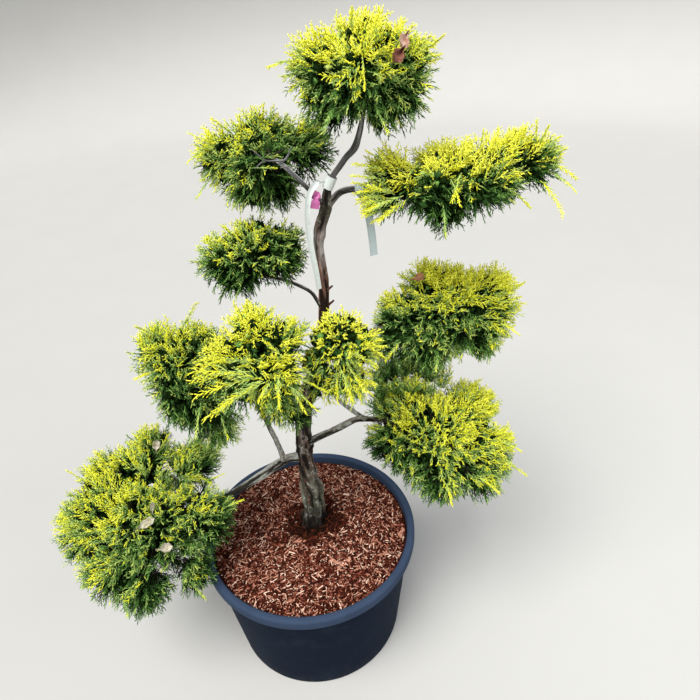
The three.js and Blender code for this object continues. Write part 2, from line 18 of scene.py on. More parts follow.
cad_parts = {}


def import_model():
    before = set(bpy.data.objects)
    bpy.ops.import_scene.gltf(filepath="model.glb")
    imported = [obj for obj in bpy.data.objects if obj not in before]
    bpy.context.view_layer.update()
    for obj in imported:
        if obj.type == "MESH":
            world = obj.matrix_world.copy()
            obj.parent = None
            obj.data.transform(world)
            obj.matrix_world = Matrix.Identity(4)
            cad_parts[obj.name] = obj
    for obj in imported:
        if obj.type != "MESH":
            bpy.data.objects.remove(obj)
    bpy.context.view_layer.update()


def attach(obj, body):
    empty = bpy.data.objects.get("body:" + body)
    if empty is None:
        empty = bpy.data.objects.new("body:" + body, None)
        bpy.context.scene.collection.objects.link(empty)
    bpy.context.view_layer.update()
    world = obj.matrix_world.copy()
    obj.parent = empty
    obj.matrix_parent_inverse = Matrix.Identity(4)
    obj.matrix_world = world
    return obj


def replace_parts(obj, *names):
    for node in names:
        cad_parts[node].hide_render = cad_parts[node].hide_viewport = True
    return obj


log = logging.getLogger("juniper")

Array = np.ndarray
Chance = np.random.Generator
Pair = tuple[float, float]
Point = tuple[float, float, float]
Colour = Point
Stops = tuple[tuple[float, Colour], ...]
Station = tuple[float, float, float, float]
Setting = object
Material = bpy.types.Material
Socket = bpy.types.NodeSocket

METRES = 0.001
BARK_SPACE = "bark_space"
MOST_TRIANGLES = 190_000
GOLDEN_ANGLE = math.pi * (3 - math.sqrt(5))
UP = np.array([0.0, 0.0, 1.0])

# Waves a millimetre round, round and along a limb: of the coarse fissures, the fine ones and the lumps
BARK_NOISES = ((1, (0.085, 0.085, 0.018)), (2, (0.26, 0.26, 0.06)), (3, (0.05, 0.05, 0.03)))
COARSE_SHARE = 1.25
FINE_SHARE = 0.6
LUMP_SHARE = 0.14
BARK_LEVEL = 0.72
LEAST_GRAIN_RADIUS = 14
FULL_RELIEF_RADIUS = 12
MOST_RELIEF = 1.4


class Slot(Enum):
    """Material slots, one kept on each finish."""

    POT = "pot"
    MULCH = "mulch"
    BARK = "bark"
    FOLIAGE = "foliage"
    STRAP = "strap"
    RIBBON = "ribbon"


class Value:
    """A socket of a node tree that takes part in Python expressions."""

    def __init__(self, graph: "Graph", socket: Socket) -> None:
        """Keeps the socket and the graph that it belongs to."""
        self.graph = graph
        self.socket = socket

    def __add__(self, other: "Value | float") -> "Value":
        """The sum of two values."""
        return self.graph.maths("ADD", self, other)

    def __sub__(self, other: "Value | float") -> "Value":
        """This value less another."""
        return self.graph.maths("SUBTRACT", self, other)

    def __rsub__(self, other: float) -> "Value":
        """A number less this value."""
        return self.graph.maths("SUBTRACT", other, self)

    def __mul__(self, other: "Value | float") -> "Value":
        """The product of two values."""
        return self.graph.maths("MULTIPLY", self, other)

    def __truediv__(self, other: "Value | float") -> "Value":
        """This value over another."""
        return self.graph.maths("DIVIDE", self, other)

    __radd__ = __add__

    def rise(self, low: float, high: float) -> "Value":
        """A smooth rise from 0 at low to 1 at high; low may be the greater, for a fall.

        Args:
            low: where the rise starts.
            high: where it ends.

        Returns:
            A value from 0 to 1.
        """
        if low > high:
            return 1 - self.rise(high, low)
        settings = {"interpolation_type": "SMOOTHSTEP"}
        return self.graph.node("ShaderNodeMapRange", settings, {0: self, 1: low, 2: high})


class Graph:
    """The node tree of one material, round its Principled shader."""

    def __init__(self, name: str) -> None:
        """Makes an empty material of that name.

        Args:
            name: the material's name.
        """
        self.material = bpy.data.materials.new(name)
        self.material.use_nodes = True
        self.tree = self.material.node_tree
        self.shader = self.tree.nodes["Principled BSDF"]

    def feed(self, socket: Socket, value: Setting) -> None:
        """Links a value to a socket, or sets a constant on it.

        Args:
            socket: the input socket.
            value: a Value, a number, a vector or a colour.
        """
        if isinstance(value, Value):
            self.tree.links.new(value.socket, socket)
            return
        if isinstance(value, tuple) and len(value) == 3 and len(socket.default_value) == 4:
            value = (*value, 1.0)
        socket.default_value = value

    def node(
        self,
        kind: str,
        settings: dict[str, Setting],
        inputs: dict[str | int, Setting],
        output: str | int = 0,
    ) -> Value:
        """Adds one node.

        Args:
            kind: the node's type.
            settings: its own settings; "stops" are the places and colours of a ramp.
            inputs: the values or links of its input sockets, by name or place.
            output: the output socket that is handed back.

        Returns:
            The output as a value.
        """
        node = self.tree.nodes.new(kind)
        for key, value in settings.items():
            if key != "stops":
                setattr(node, key, value)
                continue
            ramp = node.color_ramp
            while len(ramp.elements) < len(value):
                ramp.elements.new(1.0)
            for element, (place, colour) in zip(ramp.elements, value):
                element.position = place
                element.color = (*colour, 1.0)
        for key, value in inputs.items():
            self.feed(node.inputs[key], value)
        return Value(self, node.outputs[output])

    def maths(self, operation: str, first: Setting, second: Setting) -> Value:
        """A Math node on two values or numbers."""
        return self.node("ShaderNodeMath", {"operation": operation}, {0: first, 1: second})

    def mix(self, share: Setting, first: Setting, second: Setting) -> Value:
        """A blend of two colours: the first at share 0, the second at share 1."""
        return self.node("ShaderNodeMix", {"data_type": "RGBA"}, {0: share, 6: first, 7: second}, 2)

    def ramp(self, share: Value, stops: Stops) -> Value:
        """A colour read off a row of stops at a share from 0 to 1."""
        return self.node("ShaderNodeValToRGB", {"stops": stops}, {0: share})

    def place(self) -> Value:
        """Object coordinates, in metres, because each piece's object sits at the origin."""
        return self.node("ShaderNodeTexCoord", {}, {}, "Object")

    def attribute(self, name: str, output: str = "Vector") -> Value:
        """What the mesh carries at each of its points: three values as a vector, or the fourth as Alpha."""
        return self.node("ShaderNodeAttribute", {"attribute_name": name}, {}, output)

    def stretched(self, vector: Value, factors: Point) -> Value:
        """A vector with its three parts multiplied by three factors."""
        return self.node("ShaderNodeVectorMath", {"operation": "MULTIPLY"}, {0: vector, 1: factors})

    def distance(self, vector: Value, centre: Point) -> Value:
        """How far a place is from a fixed one."""
        return self.node("ShaderNodeVectorMath", {"operation": "DISTANCE"}, {0: vector, 1: centre}, "Value")

    def height(self, vector: Value) -> Value:
        """The Z part of a vector."""
        return self.node("ShaderNodeSeparateXYZ", {}, {0: vector}, "Z")

    def noise(self, vector: Value, scale: float, detail: float = 4.0, roughness: float = 0.6) -> Value:
        """Cloudy noise from 0 to 1, with that many lumps a metre."""
        inputs = {"Vector": vector, "Scale": scale, "Detail": detail, "Roughness": roughness}
        return self.node("ShaderNodeTexNoise", {}, inputs)

    def bump(self, height: Value, strength: float, distance: float) -> Value:
        """A normal that follows a height from 0 to 1, at a depth in metres."""
        inputs = {"Strength": strength, "Distance": distance, "Height": height}
        return self.node("ShaderNodeBump", {}, inputs)

    def dress(
        self, colour: Setting, roughness: Setting, normal: Value | None = None, specular: float = 0.5
    ) -> Material:
        """Feeds the shader's sockets.

        Args:
            colour: a constant or a value.
            roughness: a constant or a value.
            normal: a normal from a bump, or None.
            specular: how strongly it reflects, a constant.

        Returns:
            The finished material.
        """
        self.feed(self.shader.inputs["Base Color"], colour)
        self.feed(self.shader.inputs["Roughness"], roughness)
        self.feed(self.shader.inputs["Specular IOR Level"], specular)
        if normal is not None:
            self.feed(self.shader.inputs["Normal"], normal)
        return self.material


@dataclass(frozen=True)
class PlainFinish:
    """One base colour all over, for small pieces that are dealt out by colour."""

    name: str
    slot: Slot
    colour: Colour
    roughness: float = 0.6
    specular: float = 0.4

    def material(self) -> Material:
        """A shader with constants alone."""
        return Graph(self.name).dress(self.colour, self.roughness, specular=self.specular)


@dataclass(frozen=True)
class BarkFinish:
    """Fissured bark, whose colour changes with height, with lichen and rusty flakes."""

    name: str
    heights: Stops
    slot: Slot = Slot.BARK
    tallest: float = 1.4
    fissure_shade: Colour = (0.007, 0.005, 0.004)
    lichen: Colour = (0.40, 0.42, 0.38)
    rust: Colour = (0.13, 0.042, 0.026)
    lichen_share: float = 0.8
    lichen_from: float = 0.53
    ridge_highlight_gain: float = 3.0
    rust_share: float = 0.6
    lichen_fades: Pair = (1.3, 0.5)
    dry_above: Pair = (0.325, 0.35)
    smooth_above: Pair = (1.10, 1.14)
    specular: float = 0.1

    def material(self) -> Material:
        """Painted shade in the fissures and a painted highlight on the ridges follow the carved relief and
        noise; noise deals out rust and lichen.

        Heights are in metres.

        Returns:
            The material.
        """
        graph = Graph(self.name)
        along = graph.attribute(BARK_SPACE)
        carved = graph.attribute(BARK_SPACE, "Alpha")
        place = graph.place()
        height = graph.height(place)
        fibres = graph.noise(graph.stretched(along, (1, 1, 0.16)), 260, 6, 0.75)
        plates = graph.noise(graph.stretched(along, (1, 1, 0.5)), 120, 6, 0.8)
        patches = graph.noise(place, 105, 6, 0.85)
        streaks = graph.noise(graph.stretched(along, (1, 1, 0.3)), 42, 5, 0.65)
        stops = tuple((level / self.tallest, colour) for level, colour in self.heights)
        ground = graph.ramp(height / self.tallest, stops)
        # The ridges take the ground colour made lighter: a painted highlight.
        ridge_highlight = graph.stretched(ground, (self.ridge_highlight_gain,) * 3)
        # The mask of the painted highlight and the painted shade: the carved relief and two noises.
        shading_mask = carved * 0.36 + plates * 0.44 + fibres * 0.2
        lit = graph.mix(shading_mask.rise(0.5, 0.64) * 0.85, ground, ridge_highlight)
        rusty = graph.mix(streaks.rise(0.55, 0.63) * self.rust_share, lit, self.rust)
        dry = height.rise(*self.dry_above)
        crust = patches.rise(self.lichen_from, self.lichen_from + 0.07) * carved.rise(0.3, 0.55) * dry
        crust = crust * self.lichen_share * (0.35 + height.rise(*self.lichen_fades) * 0.65)
        crusted = graph.mix(crust, rusty, self.lichen)
        # The fissures take a near-black colour: painted shade, fainter above 1.10 m.
        fissure_shade_share = shading_mask.rise(0.49, 0.40) * (0.92 - height.rise(*self.smooth_above) * 0.6)
        colour = graph.mix(fissure_shade_share, crusted, self.fissure_shade)
        relief = graph.bump(plates * 0.5 + fibres * 0.5, 1.0, 0.004)
        return graph.dress(colour, 0.76 + fibres * 0.24, relief, self.specular)


@dataclass(frozen=True)
class PotFinish:
    """Moulded slate-blue plastic: a lip lighter with a painted sheen, dust at the foot and a pale painted
    highlight along the edge under the lip.
    """

    name: str
    lip_edge: float
    slot: Slot = Slot.POT
    wall: Colour = (0.0060, 0.0108, 0.0215)
    rim_sheen: Colour = (0.033, 0.050, 0.088)
    bloom: Colour = (0.021, 0.031, 0.050)
    dust: Colour = (0.07, 0.068, 0.062)
    edge_highlight: Colour = (0.34, 0.34, 0.34)
    specular: float = 0.01

    def material(self) -> Material:
        """Blends by height, broken up by noise. Heights are in metres.

        Returns:
            The material.
        """
        graph = Graph(self.name)
        place = graph.place()
        height = graph.height(place)
        mottle = graph.noise(place, 18, 6, 0.7)
        grain = graph.noise(place, 900, 2, 0.5)
        drips = graph.noise(graph.stretched(place, (1, 1, 0.12)), 70, 4, 0.6)
        specks = graph.noise(place, 260, 3, 0.7)
        edge = self.lip_edge
        # From the lip's lower edge up, the plastic turns lighter: a painted sheen.
        body = graph.mix(height.rise(edge - 0.004, edge + 0.004), self.wall, self.rim_sheen)
        bloomed = graph.mix(mottle.rise(0.45, 0.72) * 0.35, body, self.bloom)
        # A thin band at the lip's lower edge, broken by noise, turns pale grey: a painted highlight.
        near_edge = height.rise(edge - 0.002, edge) * height.rise(edge + 0.002, edge)
        edge_highlighted = graph.mix(near_edge * mottle.rise(0.4, 0.52) * 0.8, bloomed, self.edge_highlight)
        dusty = height.rise(0.05, 0.0) * drips.rise(0.3, 0.7) * 0.25 + specks.rise(0.68, 0.75) * 0.2
        colour = graph.mix(dusty, edge_highlighted, self.dust)
        relief = graph.bump(grain * 0.6 + mottle * 0.4, 0.12, 0.0006)
        return graph.dress(colour, 0.42 + mottle * 0.2 + dusty * 0.4, relief, self.specular)


@dataclass(frozen=True)
class MulchFinish:
    """The moist shreds under the loose bark: dark red-brown, the darkest partly painted shade between the
    chips, and nearly black round the trunk, painted shade.
    """

    name: str
    centre: Pair
    slot: Slot = Slot.MULCH
    level: float = 0.3
    specular: float = 0.05
    trunk_shade: Colour = (0.004, 0.0035, 0.002)
    trunk_shade_reach: Pair = (0.108, 0.078)
    # The ramp's near-black low stops are partly the bark's own dark red-brown, partly painted shade in the
    # gaps between the chips.
    shreds: Stops = (
        (0.36, (0.006, 0.0015, 0.001)),
        (0.50, (0.032, 0.006, 0.003)),
        (0.60, (0.088, 0.021, 0.012)),
        (0.72, (0.24, 0.09, 0.055)),
    )

    def material(self) -> Material:
        """Two sizes of noise pick the colour; distance from the trunk darkens it, as painted shade round the
        trunk.

        Returns:
            The material.
        """
        graph = Graph(self.name)
        place = graph.place()
        shreds = graph.noise(graph.stretched(place, (1, 1, 3)), 260, 6, 0.75)
        clods = graph.noise(place, 60, 4, 0.6)
        x, y = (value * METRES for value in self.centre)
        # Close round the trunk the bed turns nearly black: painted shade.
        trunk_shade = (graph.distance(place, (x, y, self.level)) + clods * 0.06).rise(*self.trunk_shade_reach)
        colour = graph.mix(trunk_shade * 0.92, graph.ramp(shreds, self.shreds), self.trunk_shade)
        return graph.dress(colour, 0.8 + clods * 0.2, graph.bump(shreds, 0.9, 0.004), self.specular)


@dataclass(frozen=True)
class StripFinish:
    """Thin plastic strip with faint grime and cockles."""

    name: str
    slot: Slot
    colour: Colour
    grime: Colour
    share: float = 0.4

    def material(self) -> Material:
        """Noise deals out the grime and a broad bump cockles the strip.

        Returns:
            The material.
        """
        graph = Graph(self.name)
        place = graph.place()
        blots = graph.noise(place, 160, 5, 0.7)
        waves = graph.noise(graph.stretched(place, (1, 1, 0.5)), 70, 2, 0.5)
        colour = graph.mix(blots.rise(0.5, 0.72) * self.share, self.colour, self.grime)
        return graph.dress(colour, 0.32 + blots * 0.25, graph.bump(waves, 0.5, 0.002))


@dataclass(frozen=True)
class DryLeafFinish:
    """A dead broad leaf: mottled, paler along the middle."""

    name: str
    colour: Colour
    spot: Colour
    slot: Slot = Slot.FOLIAGE

    def material(self) -> Material:
        """Noise mottles the colour and wrinkles the leaf.

        Returns:
            The material.
        """
        graph = Graph(self.name)
        place = graph.place()
        mottle = graph.noise(place, 140, 5, 0.7)
        wrinkles = graph.noise(place, 320, 3, 0.6)
        colour = graph.mix(mottle.rise(0.4, 0.65), self.colour, self.spot)
        return graph.dress(colour, 0.6 + mottle * 0.3, graph.bump(wrinkles, 0.6, 0.001))


@dataclass(frozen=True)
class FloorFinish:
    """A plain pale studio floor."""

    name: str
    colour: Colour = (0.43, 0.425, 0.41)

    def material(self) -> Material:
        """One colour with the faintest unevenness.

        Returns:
            The material.
        """
        graph = Graph(self.name)
        cloud = graph.noise(graph.place(), 3, 3, 0.5)
        shade = tuple(0.95 * part for part in self.colour)
        return graph.dress(graph.mix(cloud, self.colour, shade), 0.8)


def linked(name: str, data: bpy.types.ID) -> bpy.types.Object:
    """A new object at the origin of the scene, with that data.

    Args:
        name: its name.
        data: its mesh, light or camera.

    Returns:
        The object.
    """
    made = bpy.data.objects.new(name, data)
    bpy.context.scene.collection.objects.link(made)
    return made


def unit(vectors: Array) -> Array:
    """Vectors scaled to length 1."""
    return vectors / np.maximum(np.linalg.norm(vectors, axis=-1, keepdims=True), 1e-9)


def squared(vectors: Array, axes: Array) -> Array:
    """Unit vectors along the part of each vector that is square to its axis."""
    return unit(vectors - axes * np.sum(vectors * axes, axis=-1, keepdims=True))


def angles(count: int) -> Array:
    """That many angles, evenly spaced round a full turn."""
    return 2 * np.pi * np.arange(count) / count


def around(first: Array, second: Array, turn: Array) -> Array:
    """first cos(turn) + second sin(turn), (n, k, 3), for n pairs of directions and k angles."""
    return first[:, None] * np.cos(turn)[..., None] + second[:, None] * np.sin(turn)[..., None]


def turned(profile: Array, count: int) -> Array:
    """Radii and heights turned about Z: (radius cos a, radius sin a, height), (n, count, 3).

    Args:
        profile: radii and heights, (n, 2).
        count: points in a ring.

    Returns:
        Rings of points, (n, count, 3).
    """
    turn = angles(count)
    radius, height = profile[:, 0][:, None], profile[:, 1][:, None]
    return np.stack([radius * np.cos(turn), radius * np.sin(turn), height * np.ones_like(turn)], -1)


def repeated(triangles: Array, points: int, count: int) -> Array:
    """The triangles of one part with that many points, over again for each of count such parts."""
    return (triangles[None] + (points * np.arange(count))[:, None, None]).reshape(-1, 3)


def square_to(directions: Array) -> tuple[Array, Array]:
    """Two directions square to each given one and to each other.

    The first is the cross product with the axis that the direction is furthest from, and the second the
    cross product of the direction with the first, so the three make a right-handed set.

    Args:
        directions: unit vectors, (n, 3).

    Returns:
        Two arrays of unit vectors, (n, 3).
    """
    axes = np.eye(3)[np.argmin(np.abs(directions), axis=-1)]
    first = unit(np.cross(axes, directions))
    return first, np.cross(directions, first)


def lattice_noise(points: Array, seed: int) -> Array:
    """Smooth noise from 0 to 1 at points in lattice units.

    Each lattice corner has a value from the fraction of a large sine, and a point blends its eight corners
    by smoothed shares 3f^2 - 2f^3 of each axis.

    Args:
        points: (..., 3).
        seed: which pattern.

    Returns:
        One value a point, (...).
    """
    cell = np.floor(points)
    share = points - cell
    share = share * share * (3 - 2 * share)
    total = np.zeros(points.shape[:-1])
    for corner in np.ndindex(2, 2, 2):
        key = (cell + corner) @ np.array([127.1, 311.7, 74.7]) + 19.19 * seed
        value = np.modf(np.abs(np.sin(key)) * 43758.5453)[0]
        weight = np.prod(np.where(np.array(corner) == 1, share, 1 - share), axis=-1)
        total += value * weight
    return total


def spline(points: Array, shares: Array) -> Array:
    """A centripetal Catmull-Rom curve through points.

    Between two points the curve is the cubic whose end slopes follow the neighbours, each gap counted as the
    square root of its length. Past the ends the curve has mirrored points.

    Args:
        points: (n, 3).
        shares: places on the curve, counted in gaps from 0 to n - 1.

    Returns:
        Points on the curve, (m, 3).
    """
    padded = np.vstack([2 * points[0] - points[1], points, 2 * points[-1] - points[-2]])
    start = np.clip(np.floor(shares).astype(int), 0, len(points) - 2)
    w = (shares - start)[:, None]
    p0, p1, p2, p3 = (padded[start + k] for k in range(4))
    pairs = ((p0, p1), (p1, p2), (p2, p3))
    g0, g1, g2 = (np.sqrt(np.linalg.norm(b - a, axis=1))[:, None] + 1e-9 for a, b in pairs)
    slope1 = ((p1 - p0) / g0 - (p2 - p0) / (g0 + g1) + (p2 - p1) / g1) * g1
    slope2 = ((p2 - p1) / g1 - (p3 - p1) / (g1 + g2) + (p3 - p2) / g2) * g1
    cubic = 2 * p1 - 2 * p2 + slope1 + slope2
    square = -3 * p1 + 3 * p2 - 2 * slope1 - slope2
    return ((cubic * w + square) * w + slope1) * w + p1


def grid_triangles(rows: int, columns: int, looped: bool = False) -> Array:
    """The triangles of a grid of points, row by row, whose last column joins the first.

    Args:
        rows: how many rows of points.
        columns: how many points in a row.
        looped: whether the last row joins the first, too.

    Returns:
        Point numbers, (m, 3), outwards where columns run anticlockwise seen from the last row.
    """
    row, column = np.meshgrid(np.arange(rows if looped else rows - 1), np.arange(columns), indexing="ij")
    next_row, next_column = (row + 1) % rows, (column + 1) % columns
    a, b = row * columns + column, row * columns + next_column
    c, d = next_row * columns + next_column, next_row * columns + column
    return np.concatenate([np.stack([a, b, c], -1).reshape(-1, 3), np.stack([a, c, d], -1).reshape(-1, 3)])


@cache
def material_of(finish: "Finish") -> Material:
    """The material of a finish, made once however many pieces have it."""
    return finish.material()


@dataclass
class Shape:
    """Points and triangles of a mesh, in millimetres, with four more values at each point or none."""

    points: Array
    triangles: Array
    carried: Array | None = None

    @staticmethod
    def joined(shapes: "list[Shape]") -> "Shape":
        """Several shapes as one. What their points carry is kept where all of them carry something.

        Args:
            shapes: the shapes.

        Returns:
            One shape with all their points and triangles.
        """
        starts = np.cumsum([0] + [len(shape.points) for shape in shapes[:-1]])
        points = np.concatenate([shape.points for shape in shapes])
        triangles = np.concatenate([shape.triangles + start for shape, start in zip(shapes, starts)])
        if any(shape.carried is None for shape in shapes):
            return Shape(points, triangles)
        return Shape(points, triangles, np.concatenate([shape.carried for shape in shapes]))

    @staticmethod
    def surface(points: Array, carried: Array | None = None) -> "Shape":
        """A row of rings as a surface, closed at each end by a fan from the ring's mean.

        Args:
            points: (rows, columns, 3), each row a ring.
            carried: (rows, columns, 4), or None.

        Returns:
            The closed surface.
        """
        rows, columns, _ = points.shape
        last = (rows - 1) * columns
        ring = np.arange(columns)
        after = (ring + 1) % columns
        low = np.stack([after, ring, np.full(columns, rows * columns)], -1)
        high = np.stack([last + ring, last + after, np.full(columns, rows * columns + 1)], -1)
        triangles = np.concatenate([grid_triangles(rows, columns), low, high])
        extra = None if carried is None else Shape.with_hubs(carried)
        return Shape(Shape.with_hubs(points), triangles, extra)

    @staticmethod
    def sheet(front: Array, out: Array, thickness: float) -> "Shape":
        """A grid of points as a thin closed sheet, whose back lies behind it, against the way out."""
        return Shape.surface(np.concatenate([front, (front - out * thickness)[:, ::-1]], axis=1))

    @staticmethod
    def with_hubs(rings: Array) -> Array:
        """The values of all the rings in one list, then the means of the first ring and of the last."""
        return np.concatenate([rings.reshape(-1, rings.shape[-1]), rings[[0, -1]].mean(axis=1)])

    def piece(self, name: str, finish: "Finish", smooth: bool = True) -> bpy.types.Object:
        """Makes the mesh and its object at the origin.

        Args:
            name: the piece's plain name.
            finish: what gives it its material.
            smooth: whether it is shaded smooth.

        Returns:
            The object, which rides on the plant's one body.
        """
        mesh = bpy.data.meshes.new(name)
        mesh.vertices.add(len(self.points))
        mesh.vertices.foreach_set("co", (self.points * METRES).astype(np.float32).ravel())
        mesh.loops.add(self.triangles.size)
        mesh.loops.foreach_set("vertex_index", self.triangles.astype(np.int32).ravel())
        mesh.polygons.add(len(self.triangles))
        mesh.polygons.foreach_set("loop_start", np.arange(0, self.triangles.size, 3, dtype=np.int32))
        mesh.polygons.foreach_set("use_smooth", np.full(len(self.triangles), smooth))
        if self.carried is not None:
            layer = mesh.attributes.new(BARK_SPACE, "FLOAT_COLOR", "POINT")
            layer.data.foreach_set("color", self.carried.astype(np.float32).ravel())
        mesh.update(calc_edges=True)
        mesh.materials.append(material_of(finish))
        piece = linked(name, mesh)
        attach(piece, "root")
        log.info("%s: %d triangles", name, len(self.triangles))
        return piece


Finish = PlainFinish | BarkFinish | PotFinish | MulchFinish | StripFinish | DryLeafFinish


def tapers(roots: Array, tips: Array, root_width: Array, tip_width: Array, sides: int) -> Shape:
    """Many straight tapered rods: each a ring of points at its root, a ring at its tip, and caps.

    A ring's k-th point is the end plus width times (cos, sin) of k/sides of a turn, square to the rod.

    Args:
        roots: (n, 3).
        tips: (n, 3).
        root_width: radius at the root, (n,).
        tip_width: radius at the tip, (n,).
        sides: points in a ring.

    Returns:
        One shape with all the rods.
    """
    ring = around(*square_to(unit(tips - roots)), angles(sides))
    low = roots[:, None] + ring * root_width[:, None, None]
    high = tips[:, None] + ring * tip_width[:, None, None]
    points = np.concatenate([low, high], axis=1).reshape(-1, 3)
    fan = np.arange(1, sides - 1)
    foot = np.stack([np.zeros_like(fan), fan + 1, fan], -1)
    head = np.stack([np.zeros_like(fan), fan, fan + 1], -1) + sides
    rod = np.concatenate([grid_triangles(2, sides), foot, head])
    return Shape(points, repeated(rod, 2 * sides, len(roots)))


def spikes(roots: Array, tips: Array, widths: Array) -> Shape:
    """Many three-sided spikes, each with a ring of three points at its root and one at its tip.

    Args:
        roots: (n, 3).
        tips: (n, 3).
        widths: radius at the root, (n,).

    Returns:
        One shape with all the spikes.
    """
    ring = around(*square_to(unit(tips - roots)), angles(3))
    low = roots[:, None] + ring * widths[:, None, None]
    points = np.concatenate([low, tips[:, None]], axis=1).reshape(-1, 3)
    spike = np.array([[0, 1, 3], [1, 2, 3], [2, 0, 3], [0, 2, 1]])
    return Shape(points, repeated(spike, 4, len(roots)))


@dataclass(frozen=True)
class Limb:
    """One tapering limb through stations of x, y, z and radius."""

    name: str
    stations: tuple[Station, ...]

    def samples(self, count: int) -> tuple[Array, Array, Array, Array]:
        """Evenly spaced places along the limb.

        Args:
            count: how many.

        Returns:
            Points, directions, radii and lengths from the start.
        """
        table = np.array(self.stations)
        shares = np.linspace(0, len(table) - 1, count)
        points = spline(table[:, :3], shares)
        radii = np.interp(shares, np.arange(len(table)), table[:, 3])
        steps = np.linalg.norm(np.diff(points, axis=0), axis=1)
        return points, unit(np.gradient(points, axis=0)), radii, np.concatenate([[0], np.cumsum(steps)])

    def tip(self) -> tuple[Array, Array, float]:
        """The point, direction and radius where the limb ends."""
        points, directions, radii, _ = self.samples(40)
        return points[-1], directions[-1], float(radii[-1])

    def surface(
        self,
        rows: int,
        columns: int,
        relief: float,
        flare: "Flare | None" = None,
        knots: "tuple[Knot, ...]" = (),
        twist: float = 0.0,
    ) -> Shape:
        """The limb's skin with bark relief.

        A point at angle a and length s lies off the limb's line by radius times flare(a, height), less
        relief times how deeply a sum of noises carves there, plus the knots. The noises are read in the
        limb's own space, (r cos b, r sin b, s) at b = a + twist s and r at least LEAST_GRAIN_RADIUS, with s
        drawn out, so that the fissures run along the limb and wind round it.

        Args:
            rows: rings along the limb.
            columns: points in a ring.
            relief: depth of the fissures in millimetres.
            flare: the swelling at the foot, or None.
            knots: swellings where limbs were lost.
            twist: turn of the grain in radians a millimetre.

        Returns:
            A closed surface that carries the limb's space and, as a fourth value, the carving from 0 to 1.
        """
        points, directions, radii, lengths = self.samples(rows)
        axis = np.eye(3)[np.argmin(np.abs(directions).mean(axis=0))]
        first = squared(axis, directions)
        second = np.cross(directions, first)
        turn = angles(columns)[None, :]
        heights = points[:, 2][:, None]
        base = np.repeat(radii[:, None], columns, axis=1)
        wound = turn + twist * lengths[:, None]
        along = np.repeat(lengths[:, None], columns, axis=1)
        wide = np.maximum(base, LEAST_GRAIN_RADIUS)
        space = np.stack([wide * np.cos(wound), wide * np.sin(wound), along], -1)
        coarse, fine, lumps = (lattice_noise(space * np.array(waves), seed) for seed, waves in BARK_NOISES)
        carved = np.clip(0.5 + COARSE_SHARE * (coarse - 0.5) + FINE_SHARE * (fine - 0.5), 0, 1)
        swell = np.ones_like(base) if flare is None else flare.swell(turn, heights)
        depth = 2 * relief * np.minimum(MOST_RELIEF, base / FULL_RELIEF_RADIUS) * (carved - BARK_LEVEL)
        reach = base * swell * (1 + LUMP_SHARE * (lumps - 0.5)) + depth
        for knot in knots:
            reach += knot.rise_at(turn, heights, base)
        carried = np.concatenate([space * METRES, carved[..., None]], axis=-1)
        return Shape.surface(points[:, None] + around(first, second, turn) * reach[..., None], carried)


@dataclass(frozen=True)
class Flare:
    """Root buttresses: a swelling of the radius that fades with height."""

    foot: float
    rise: float = 0.24
    count: int = 5
    start: float = 0.6
    fade: float = 38

    def swell(self, turn: Array, heights: Array) -> Array:
        """1 + rise cos(count a + start) exp(-(height above the foot) / fade)."""
        above = np.maximum(heights - self.foot, 0)
        return 1 + self.rise * np.cos(self.count * turn + self.start) * np.exp(-above / self.fade)


@dataclass(frozen=True)
class Knot:
    """A swelling on a limb: its height, its angle about the limb, its size and how far it stands out."""

    height: float
    turn: float
    size: float
    rise: float

    def rise_at(self, turn: Array, heights: Array, radius: Array) -> Array:
        """rise times exp(-(distance over the bark / size)^2), with a shallow dip in its middle.

        Args:
            turn: angles about the limb.
            heights: heights of its rings.
            radius: the limb's radii there.

        Returns:
            How far the bark stands out, in millimetres.
        """
        round_limb = radius * np.abs((turn - self.turn + np.pi) % (2 * np.pi) - np.pi)
        distance = np.hypot(round_limb, heights - self.height) / self.size
        return self.rise * (np.exp(-(distance**2)) - 0.5 * np.exp(-((distance * 3) ** 2)))


